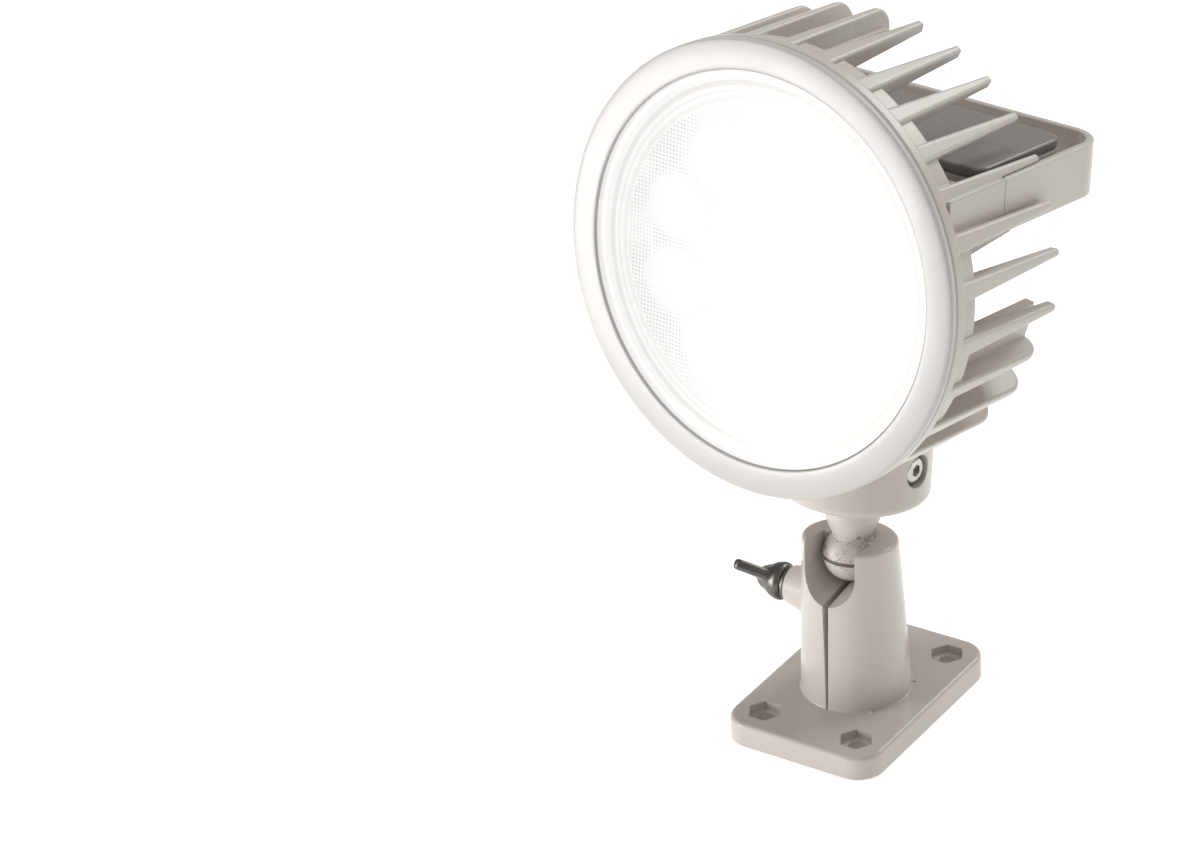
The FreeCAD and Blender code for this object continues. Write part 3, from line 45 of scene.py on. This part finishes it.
# %% [markdown]
# Three frames are used. The part's own frame has its origin under the mounting plate. The stem
# leans back and turns a little on its ball. The head frame stands on the lamp's axis at the front
# of the bezel: x to the side, y back into the lamp, z up. Points are written in millimetres.

# %% Frames of the stem and the head
MM = 0.001
BALL_HEIGHT = 64.0
REST_TILT = math.radians(-8.88)
REST_TURN = math.radians(-5.05)
LIGHT_HEIGHT = 124.4
FRONT_REACH = 64.4
stem_frame = (Matrix.Translation(Vector((0, 0, BALL_HEIGHT * MM)))
              @ Matrix.Rotation(REST_TURN, 4, "Z") @ Matrix.Rotation(REST_TILT, 4, "X"))
head_frame = stem_frame @ Matrix.Translation(Vector((0, -FRONT_REACH * MM, LIGHT_HEIGHT * MM)))
print("light axis starts at", [round(c, 4) for c in head_frame.translation])

# %% [markdown]
# The camera is a long lens from above and to the side, rolled a few degrees. Its place was worked
# out from straight edges and circles of the object, so the same points land on the same pixels.

# %% Camera
ELEVATION = math.radians(29.6425)
AZIMUTH = math.radians(36.2903)
ROLL = math.radians(-4.38795)
DISTANCE = 1633.23
ASIDE = 93.4512
BELOW = -98.3393
SENSOR = 36.0
FOCAL_PIXELS = 4500
IMAGE_WIDTH = 1200
FAR_CLIP = 20

back = Vector((math.sin(AZIMUTH) * math.cos(ELEVATION),
               -math.cos(AZIMUTH) * math.cos(ELEVATION), math.sin(ELEVATION)))
level = Vector((math.cos(AZIMUTH), math.sin(AZIMUTH), 0))
upward = back.cross(level)
right = math.cos(ROLL) * level + math.sin(ROLL) * upward
above = -math.sin(ROLL) * level + math.cos(ROLL) * upward
turn = Matrix((right, above, back)).transposed()
eye = turn @ Vector((-ASIDE, -BELOW, DISTANCE)) * MM
lens_of_camera = bpy.data.cameras.new("camera")
lens_of_camera.sensor_width = SENSOR
lens_of_camera.lens = SENSOR * FOCAL_PIXELS / IMAGE_WIDTH
lens_of_camera.clip_end = FAR_CLIP
camera = bpy.data.objects.new("camera", lens_of_camera)
camera.matrix_world = Matrix.Translation(eye) @ turn.to_4x4()
bpy.context.scene.collection.objects.link(camera)
bpy.context.scene.camera = camera
print("camera at", [round(c, 3) for c in eye])

# %% [markdown]
# Shader maths reads best as plain expressions, so one small class wraps a node's output. Adding
# or multiplying two of them adds the Math node for it, and any other node comes from `node`.

# %% Shader expressions
class Value:
    """A node's output that can be used in an expression."""

    def __init__(self, tree, socket):
        self.tree = tree
        self.socket = socket

    def maths(self, operation, *others, first=None):
        inputs = [first, self, *others] if first is not None else [self, *others]
        return self.node("ShaderNodeMath", {"operation": operation}, dict(enumerate(inputs)))

    def node(self, kind, settings=None, inputs=None, output=0):
        return node(self.tree, kind, settings, inputs, output)

    def __add__(self, other):
        return self.maths("ADD", other)

    def __radd__(self, other):
        return self.maths("ADD", other)

    def __sub__(self, other):
        return self.maths("SUBTRACT", other)

    def __rsub__(self, other):
        return self.maths("SUBTRACT", first=other)

    def __mul__(self, other):
        return self.maths("MULTIPLY", other)

    def above(self, level, soft):
        """0 below a level, 1 above it, with a soft step between."""
        ends = {0: self, 1: level - soft, 2: level + soft}
        return self.node("ShaderNodeMapRange", {"interpolation_type": "SMOOTHSTEP"}, ends)

    def vector(self, operation, other=(0, 0, 0)):
        """One step of vector maths; a length or a distance comes out as a number."""
        output = 1 if operation in ("LENGTH", "DISTANCE") else 0
        settings = {"operation": operation}
        return self.node("ShaderNodeVectorMath", settings, {0: self, 1: other}, output)


def node(tree, kind, settings=None, inputs=None, output=0):
    """Add one node: its settings first, then a value or a link for each socket."""
    made = tree.nodes.new(kind)
    for key, setting in (settings or {}).items():
        setattr(made, key, setting)
    for key, given in (inputs or {}).items():
        if isinstance(given, Value):
            tree.links.new(given.socket, made.inputs[key])
        else:
            made.inputs[key].default_value = given
    return Value(tree, made.outputs[output])


# %% [markdown]
# A few short helpers cover what every finish needs: a mix of two colours, a noise, a fresh
# material, the links to its shader, and a bump over softly rounded edges.

# %% Helpers for finishes
def as_colour(given):
    return given if isinstance(given, Value) else (*given, 1)


def mixed(factor, low, high):
    """Mix two colours by a factor."""
    inputs = {0: factor, 6: as_colour(low), 7: as_colour(high)}
    return factor.node("ShaderNodeMix", {"data_type": "RGBA"}, inputs, output=2)


def noise(place, scale, detail=3.0, rough=0.5):
    inputs = {"Vector": place, "Scale": scale, "Detail": detail, "Roughness": rough}
    return place.node("ShaderNodeTexNoise", {}, inputs)


def new_finish(name, metallic=0.0):
    """A material with its main shader, and the object's own coordinates."""
    material = bpy.data.materials.new(name)
    material.use_nodes = True
    tree = material.node_tree
    shader = tree.nodes["Principled BSDF"]
    shader.inputs["Metallic"].default_value = metallic
    place = node(tree, "ShaderNodeTexCoord", output=3)
    return material, tree, shader, place


def feed(tree, shader, **links):
    """Link expressions to the shader's sockets."""
    for key, value in links.items():
        tree.links.new(value.socket, shader.inputs[key.replace("_", " ").title()])


def rounded_bump(tree, height, strength, distance, radius=0.0):
    """A bump from a height, over edges that catch the light as if they were rounded."""
    inputs = {"Height": height, "Strength": strength, "Distance": distance}
    if radius:
        inputs["Normal"] = node(tree, "ShaderNodeBevel", {"samples": 6}, {"Radius": radius})
    return node(tree, "ShaderNodeBump", {}, inputs)


# %% [markdown]
# The casting is powder coated: a warm off-white with a soft sheen, a faint orange-peel skin and
# the smallest change of tone from place to place. The scales of a noise are counts per metre.

# %% Paint on the castings
CLOUD_SCALE = 28
SHEEN_SCALE = 60
SKIN_SCALE = 900
PIT_SCALE = 2600
SKIN_DEPTH = 0.00004


def make_paint(name, colour, shade, rough, edge, peel=0.35):
    paint, tree, shader, place = new_finish(name)
    cloudy = noise(place, CLOUD_SCALE, 4)
    skin = noise(place, SKIN_SCALE, 2)
    pits = noise(place, PIT_SCALE, 1)
    feed(tree, shader, base_color=mixed(cloudy.above(0.5, 0.3), colour, shade),
         roughness=rough + (noise(place, SHEEN_SCALE) - 0.5) * 0.12,
         normal=rounded_bump(tree, skin + pits * 0.3, peel, SKIN_DEPTH, edge))
    return paint


cast_paint = make_paint("cast_paint", (0.53, 0.485, 0.45), (0.50, 0.46, 0.425),
                        rough=0.30, edge=0.0011)
bezel_paint = make_paint("bezel_paint", (0.515, 0.492, 0.468), (0.50, 0.478, 0.455),
                         rough=0.30, edge=0.0006)
mount_gloss = make_paint("mount_gloss", (0.54, 0.495, 0.46), (0.52, 0.475, 0.44),
                         rough=0.22, edge=0.0009, peel=0.18)
# Painted shade: the lid has the same off-white paint as the case, darkened for the shade and dark
# reflections it takes under the strap and between the fins.
lid_paint = make_paint("lid_paint", (0.205, 0.187, 0.173), (0.19, 0.172, 0.158),
                       rough=0.24, edge=0.0009)
print("paints:", cast_paint.name, bezel_paint.name, mount_gloss.name, lid_paint.name)

# %% [markdown]
# The ball stud is coated like the casting, but the coat on its ball is rubbed by the clamp, so
# dark specks show there. A mask made from the distance to the ball's centre keeps them on it.

# %% Rubbed coat on the ball stud
BALL_REACH = 0.0125
BALL_FADE = 0.0015
COAT_COLOUR = (0.53, 0.49, 0.455)
BARE_COLOUR = (0.15, 0.135, 0.12)
stem_coat, tree, shader, place = new_finish("stem_coat")
from_centre = place.vector("DISTANCE", (0, 0, BALL_HEIGHT * MM))
on_ball = 1 - from_centre.above(BALL_REACH, BALL_FADE)
specks = noise(place, 1500, 3, 0.7).above(0.60, 0.05) * noise(place, 260, 2).above(0.46, 0.08)
worn = noise(place, 420, 4, 0.65).above(0.60, 0.04) * noise(place, 120, 2).above(0.5, 0.06)
rubbed = specks.maths("MAXIMUM", worn) * on_ball
skin = noise(place, 800, 2) - rubbed
feed(tree, shader, base_color=mixed(rubbed, COAT_COLOUR, BARE_COLOUR),
     roughness=0.33 + rubbed * 0.3, normal=rounded_bump(tree, skin, 0.3, 0.00005, 0.0005))
print("coat:", stem_coat.name)

# %% [markdown]
# Screws and the wing screw are stainless steel: bare metal with fine grinding marks. The marks
# are noise drawn out along one direction. The wing screw's steel is darkened, a painted
# reflection of dark surroundings. Brass is made the same way, and rubber, plastic and wire have a
# fine matt grain.

# %% Stainless steel, brass and rubber
GRAIN_STRETCH = (1, 1, 12)
GRAIN_SPREAD = 0.2


def darker(colour, share):
    return tuple(share * channel for channel in colour)


def make_metal(name, colour, rough):
    metal, tree, shader, place = new_finish(name, metallic=1.0)
    along = node(tree, "ShaderNodeMapping", {}, {"Vector": place, "Scale": GRAIN_STRETCH})
    grain = noise(along, 700, 3, 0.6)
    stain = noise(place, 90, 3).above(0.52, 0.2)
    feed(tree, shader, base_color=mixed(stain, colour, darker(colour, 0.8)),
         roughness=rough + (grain - 0.5) * GRAIN_SPREAD,
         normal=rounded_bump(tree, grain, 0.25, 0.00003, 0.0003))
    return metal


def make_soft(name, colour, rough):
    soft, tree, shader, place = new_finish(name)
    grain = noise(place, 1800, 3)
    feed(tree, shader, base_color=mixed(noise(place, 120), colour, darker(colour, 0.75)),
         roughness=rough + (grain - 0.5) * GRAIN_SPREAD,
         normal=rounded_bump(tree, grain, 0.3, 0.00004))
    return soft


# Painted reflection: the same stainless steel, darkened for the dark surroundings it mirrors.
steel_painted_reflection = make_metal("steel_painted_reflection", (0.155, 0.15, 0.135), 0.34)
bright_steel = make_metal("bright_steel", (0.55, 0.53, 0.50), 0.24)
brass = make_metal("brass", (0.66, 0.47, 0.20), 0.3)
black_rubber = make_soft("black_rubber", (0.03, 0.03, 0.03), 0.6)
brown_rubber = make_soft("brown_rubber", (0.16, 0.145, 0.13), 0.55)
grey_rubber = make_soft("grey_rubber", (0.45, 0.44, 0.42), 0.6)
white_mask = make_soft("white_mask", (0.8, 0.82, 0.8), 0.35)
pad_grey = make_soft("pad_grey", (0.3, 0.32, 0.36), 0.7)
red_wire = make_soft("red_wire", (0.35, 0.03, 0.02), 0.45)
black_parts = make_soft("black_parts", (0.03, 0.032, 0.035), 0.4)
gland_nylon = make_soft("gland_nylon", (0.52, 0.49, 0.46), 0.42)
print("materials:", len(bpy.data.materials))

# %% [markdown]
# Each solid takes one finish, apart from the lens, which gets pieces of its own further down. The
# bezel and the wing screw get finer pieces there too.

# %% Finish of each node
finishes = {
    cast_paint: ("housing", "driver_case", "strap"),
    # The lid takes the darkened paint: painted shade.
    lid_paint: ("driver_lid",),
    bezel_paint: ("bezel",),
    mount_gloss: ("mount_base",),
    stem_coat: ("ball_stud",),
    # The wing screw and its washer take the darkened steel: painted reflection.
    steel_painted_reflection: ("wing_screw", "clamp_washer"),
    bright_steel: ("cross_screw", "cross_nut", "bezel_screws", "lid_screws", "case_screws",
                   "board_screws", "driver_screws", "strap_screws"),
    brass: ("clamp_insert",),
    brown_rubber: ("ball_ring",),
    black_rubber: ("lens_gasket", "wire_grommet"),
    grey_rubber: ("gland_seal", "lid_gasket"),
    white_mask: ("led_board", "driver_board", "optic_tray", "leds"),
    pad_grey: ("led_pad",),
    red_wire: ("lamp_wires",),
    black_parts: ("driver_parts",),
    gland_nylon: ("gland_body", "gland_nut", "gland_cap", "vent_plug"),
}
for material, names in finishes.items():
    for name in names:
        nodes[name].data.materials.clear()
        nodes[name].data.materials.append(material)
print("finished nodes:", sum(len(names) for names in finishes.values()))

# %% [markdown]
# The lens and the bezel are turned pieces. Each is a closed profile of radius and depth in the
# head frame, spun about the light's axis, with its corners rounded by short arcs.

# %% Turned pieces
SPIN_STEPS = 180
MERGE_WITHIN = 0.0001


def arc(centre, radius, start, end, steps=5):
    """Points of a rounded corner, from one angle to another in degrees."""
    angles = [math.radians(start + (end - start) * k / steps) for k in range(steps + 1)]
    return [(centre[0] + radius * math.cos(a), centre[1] + radius * math.sin(a)) for a in angles]


def placed(shape, name, material, body, frame_of_piece):
    """Turn a bmesh drawn in one frame into a smooth object that rides on a body."""
    bmesh.ops.remove_doubles(shape, verts=shape.verts, dist=MERGE_WITHIN)
    bmesh.ops.recalc_face_normals(shape, faces=shape.faces)
    bmesh.ops.scale(shape, vec=(MM, MM, MM), verts=shape.verts)
    bmesh.ops.transform(shape, matrix=frame_of_piece, verts=shape.verts)
    for face in shape.faces:
        face.smooth = True
    mesh = bpy.data.meshes.new(name)
    shape.to_mesh(mesh)
    shape.free()
    mesh.materials.append(material)
    piece = bpy.data.objects.new(name, mesh)
    bpy.context.scene.collection.objects.link(piece)
    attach(piece, body)
    print(name, "faces:", len(mesh.polygons))
    return piece


def spun(name, profile, material):
    """Spin a closed profile of (radius, depth) about the light's axis."""
    shape = bmesh.new()
    corners = [shape.verts.new((radius, depth, 0)) for radius, depth in profile]
    edges = [shape.edges.new(pair) for pair in zip(corners, corners[1:] + corners[:1])]
    bmesh.ops.spin(shape, geom=corners + edges, cent=(0, 0, 0), axis=(0, 1, 0),
                   angle=2 * math.pi, steps=SPIN_STEPS, use_merge=True)
    return placed(shape, name, material, "lamp", head_frame)


# %% [markdown]
# The bezel's face is nearly flat. Its inner lip stands flush with the glass, and both its edges
# are rounded.

# %% Bezel
BEZEL_OUT = 80.0
BEZEL_IN = 69.7
SPIGOT = 78.0
SEAT = 72.0
LIP_EDGE = 0.5
RIM_EDGE = 1.3
CROWN = [(72.0, -0.56), (74.5, -0.6), (76.6, -0.55), (78.0, -0.45)]
SEAT_DEPTH = 1.6
FLANGE_DEPTH = 2.2
SPIGOT_DEPTH = 5.0
bezel_profile = (arc((BEZEL_IN + LIP_EDGE, 0.0), LIP_EDGE, 180, 262) + CROWN
                 + arc((BEZEL_OUT - RIM_EDGE, 0.9), RIM_EDGE, 285, 360)
                 + [(BEZEL_OUT, FLANGE_DEPTH), (SPIGOT, FLANGE_DEPTH), (SPIGOT, SPIGOT_DEPTH),
                    (SEAT, SPIGOT_DEPTH), (SEAT, SEAT_DEPTH), (BEZEL_IN, SEAT_DEPTH)])
bezel = spun("bezel_turned", bezel_profile, bezel_paint)
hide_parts("bezel")

# %% [markdown]
# The lens is one clear disc whose back is moulded: fine concentric steps round a field of small
# cells. The back lies 3 mm behind the front, so its circles shift against the bezel as the view
# moves. The pattern is worked out in the head frame.

# %% Pattern on the back of the lens
HEAD_TILT = (REST_TILT, 0, REST_TURN)
CELL_WAVE = 2.2
FIELD_RADIUS = 57.4
STEPS = ((64.4, 0.9, 0.13), (61.5, 0.4, 0.08), (58.8, 0.9, 0.07))


def head_point(place):
    """A point of the head as the head frame sees it, in millimetres."""
    inputs = {"Vector": place, "Location": head_frame.translation, "Rotation": HEAD_TILT}
    in_metres = place.node("ShaderNodeMapping", {"vector_type": "TEXTURE"}, inputs)
    return in_metres.vector("MULTIPLY", (1 / MM,) * 3)


def coordinate(point, axis):
    return point.node("ShaderNodeSeparateXYZ", {}, {0: point}, output=axis)


lens_glow, tree, shader, place = new_finish("lens_glow")
at = head_point(place)
across, upright = coordinate(at, 0), coordinate(at, 2)
in_plane = at.vector("MULTIPLY", (1, 0, 1))
radius = in_plane.vector("LENGTH")
one_way = ((across + upright) * CELL_WAVE).maths("SINE")
other_way = ((across - upright) * CELL_WAVE).maths("SINE")
wave = one_way * other_way
in_field = 1 - radius.above(FIELD_RADIUS, 0.3)
rings = None
for circle, half_width, depth in STEPS:
    band = (1 - (radius - circle).maths("ABSOLUTE").above(half_width, 0.15)) * depth
    rings = band if rings is None else rings + band
print("steps of the lens:", len(STEPS))

# %% [markdown]
# The lamps behind the lens are bright: where one shines, its cells drown in the glow, so the
# pattern only shows between the lamps and along the left edge.

# %% Glow of the lens
INNER_LAMPS = [(15, angle) for angle in (90, 210, 330)]
OUTER_LAMPS = [(40, angle) for angle in range(0, 360, 40)]
LAMP_GLARE = 11.5
nearest = None
for circle, degrees in INNER_LAMPS + OUTER_LAMPS:
    angle = math.radians(degrees)
    gap = in_plane.vector("DISTANCE", (circle * math.cos(angle), 0, circle * math.sin(angle)))
    nearest = gap if nearest is None else nearest.maths("MINIMUM", gap)
between = nearest.above(LAMP_GLARE, 2.5)
near_left = 1 - across.above(-18, 36)
blotches = 0.5 + noise(place, 70, 2).above(0.46, 0.12) * 0.5
shown = (0.15 + between * blotches * 0.85) * (0.06 + near_left * 0.94)
dots = wave.above(0.35, 0.2) * in_field * shown
haze = (noise(place, 45, 2) - 0.5) * 0.05
glow = 0.80 - dots * 0.34 - rings + across.above(-15, 50) * 0.20 + haze
tint = mixed(rings * 6, (1.0, 1.0, 0.995), (1.0, 0.955, 0.91))
grey = glow.node("ShaderNodeCombineXYZ", {}, {0: glow, 1: glow, 2: glow})
glow_colour = glow.node("ShaderNodeMix", {"data_type": "RGBA", "blend_type": "MULTIPLY"},
                        {0: 1.0, 6: tint, 7: grey}, output=2)
relief = wave * in_field + noise(place, 400) * 0.2
feed(tree, shader, emission_color=glow_colour, roughness=0.3 + wave * 0.1 * in_field,
     normal=rounded_bump(tree, relief, 0.25, 0.00008))
shader.inputs["Base Color"].default_value = (0.08, 0.08, 0.08, 1)
shader.inputs["Emission Strength"].default_value = 1.0
print("lamps behind the lens:", len(INNER_LAMPS + OUTER_LAMPS))

# %% [markdown]
# Two turned pieces make the lens: its glowing moulded back, and a clear front that takes the
# place of the solid.

# %% Back and front of the lens
MOULDED_DEPTH = 3.0
REAR_DEPTH = 3.6
BACK_RADIUS = 69.65
BACK_FLAT = 66.8
BACK_EDGE = 0.4
FACE_DEPTH = 0.2
FACE_RADIUS = 69.4
FRONT_FLAT = 67.0
FRONT_DEPTH = 2.4
FRONT_ALPHA = 0.12
back_profile = [(0, MOULDED_DEPTH), (BACK_FLAT, MOULDED_DEPTH), (BACK_RADIUS, BACK_EDGE),
                (BACK_RADIUS, REAR_DEPTH), (0, REAR_DEPTH)]
lens_back = spun("lens_back", back_profile, lens_glow)

lens_clear, tree, shader, place = new_finish("lens_clear")
smears = noise(place, 25, 4, 0.6)
feed(tree, shader, roughness=0.05 + smears * 0.05,
     normal=rounded_bump(tree, smears, 0.1, 0.00005),
     base_color=mixed(smears, (0.90, 0.89, 0.87), (0.94, 0.93, 0.92)))
shader.inputs["Alpha"].default_value = FRONT_ALPHA
front_profile = [(0, FACE_DEPTH), (FACE_RADIUS, FACE_DEPTH), (FRONT_FLAT, FRONT_DEPTH),
                 (0, FRONT_DEPTH)]
lens = spun("lens_front", front_profile, lens_clear)
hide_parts("lens")

# %% [markdown]
# A thin line of grime sits where the lens meets the bezel. It is heavier on the lamp's right.

# %% Seam round the lens
SEAM_PROFILE = [(69.3, 0.3), (69.4, 0.12), (69.75, 0.05), (69.75, 0.45), (69.3, 0.45)]
seam_grime, tree, shader, place = new_finish("seam_grime")
across = coordinate(head_point(place), 0)
dirt = noise(place, 1500, 3, 0.7).above(0.5, 0.1) * across.above(20, 40)
rim = mixed(across.above(0, 60), (0.42, 0.39, 0.36), (0.22, 0.20, 0.18))
feed(tree, shader, base_color=mixed(dirt, rim, (0.08, 0.07, 0.06)),
     roughness=0.6 + dirt * 0.2,
     normal=rounded_bump(tree, noise(place, 1500, 3), 0.4, 0.00005))
seam = spun("lens_seam", SEAM_PROFILE, seam_grime)

# %% [markdown]
# The wing screw is forged, so its ears run into the hub with soft curves. A merged copy of the
# solid is rebuilt with small even faces and then smoothed.

# %% Wing screw
def smoothed_copy(source, name, voxel, passes, fillet):
    """A copy of a node as one closed skin: swelled and shrunk, so that its inner corners fill."""
    shape = bmesh.new()
    shape.from_mesh(nodes[source].data)
    bmesh.ops.remove_doubles(shape, verts=shape.verts, dist=0.000005)
    mesh = bpy.data.meshes.new(name)
    shape.to_mesh(mesh)
    shape.free()
    rough = bpy.data.objects.new(name + "_rough", mesh)
    bpy.context.scene.collection.objects.link(rough)
    for step, push in (("swell", fillet), ("shrink", -fillet)):
        skin = rough.modifiers.new("skin_" + step, "REMESH")
        skin.mode, skin.voxel_size, skin.use_smooth_shade = "VOXEL", voxel, True
        swell = rough.modifiers.new(step, "DISPLACE")
        swell.strength, swell.mid_level = push, 0
        smooth = rough.modifiers.new("smooth_" + step, "SMOOTH")
        smooth.factor, smooth.iterations = 0.5, passes
    graph = bpy.context.evaluated_depsgraph_get()
    baked = bpy.data.meshes.new_from_object(rough.evaluated_get(graph))
    bpy.data.objects.remove(rough)
    piece = bpy.data.objects.new(name, baked)
    bpy.context.scene.collection.objects.link(piece)
    print(name, "faces:", len(baked.polygons))
    return piece


wing = smoothed_copy("wing_screw", "wing_forged", voxel=0.00032, passes=4, fillet=0.0022)
wing.data.materials.clear()
wing.data.materials.append(steel_painted_reflection)
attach(wing, "wing_screw")
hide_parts("wing_screw")

# %% [markdown]
# Two small round pips from the mould stand on the plate.

# %% Pips on the plate
PIPS = ((14.9, -14.3, 1.0), (18.3, 10.6, 0.8))
PIP_DEPTH = 0.7
PIP_TAPER = 0.75
PLATE_TOP = 9.0
shape = bmesh.new()
for x, y, wide in PIPS:
    disc = bmesh.ops.create_cone(shape, cap_ends=True, segments=24, radius1=wide,
                                 radius2=wide * PIP_TAPER, depth=PIP_DEPTH)
    bmesh.ops.translate(shape, vec=(x, y, PLATE_TOP), verts=disc["verts"])
pips = placed(shape, "plate_pips", mount_gloss, "mount", Matrix.Identity(4))

# %% [markdown]
# A pale floor that glows a little lights the lamp from below, as a studio table does.

# %% Floor and sky
FLOOR_HALF_WIDTH = 6
FLOOR_DROP = 0.0005
FLOOR_GLOW = 0.52
SKY_STRENGTH = 0.40
floor_finish, tree, shader, place = new_finish("floor_finish")
feed(tree, shader, base_color=mixed(noise(place, 3), (0.86, 0.86, 0.86), (0.84, 0.84, 0.84)),
     roughness=0.75 + (noise(place, 40) - 0.5) * 0.1)
shader.inputs["Emission Color"].default_value = (1, 0.995, 0.99, 1)
shader.inputs["Emission Strength"].default_value = FLOOR_GLOW
shape = bmesh.new()
bmesh.ops.create_grid(shape, x_segments=1, y_segments=1, size=FLOOR_HALF_WIDTH)
floor_mesh = bpy.data.meshes.new("floor")
shape.to_mesh(floor_mesh)
shape.free()
floor = bpy.data.objects.new("floor", floor_mesh)
floor.data.materials.append(floor_finish)
floor.location.z = -FLOOR_DROP
bpy.context.scene.collection.objects.link(floor)

world = bpy.data.worlds.new("studio")
world.use_nodes = True
sky = world.node_tree.nodes["Background"]
sky.inputs["Color"].default_value = (1, 0.99, 0.98, 1)
sky.inputs["Strength"].default_value = SKY_STRENGTH
bpy.context.scene.world = world
bpy.context.scene.view_settings.view_transform = "Standard"
print("floor and sky:", floor.name, world.name)

# %% [markdown]
# Five soft boxes light the lamp. The key light stands in front on the left, with a small one low
# beside it. The others stand on the right, behind and above. Each line gives a place, a width and
# a height in metres, and a power in watts.

# %% Soft boxes
AIM_HEIGHT = 0.14
SOFT_BOXES = {
    "key_light": ((-1.10, -1.10, 0.65), 0.8, 0.8, 7.2),
    "low_light": ((-0.47, -0.52, 0.08), 0.3, 0.2, 2.1),
    "side_light": ((1.3, 0.3, 0.4), 0.3, 0.8, 0.5),
    "back_light": ((0.4, 1.3, 1.15), 0.9, 0.7, 10),
    "top_light": ((0.1, 0.1, 1.6), 0.6, 0.5, 6),
}
for name, (place, width, height, power) in SOFT_BOXES.items():
    light = bpy.data.lights.new(name, "AREA")
    light.shape = "RECTANGLE"
    light.size, light.size_y, light.energy = width, height, power
    lamp = bpy.data.objects.new(name, light)
    aim = (Vector(place) - Vector((0, 0, AIM_HEIGHT))).to_track_quat("Z", "Y")
    lamp.matrix_world = Matrix.Translation(place) @ aim.to_matrix().to_4x4()
    bpy.context.scene.collection.objects.link(lamp)
print("soft boxes:", len(SOFT_BOXES))
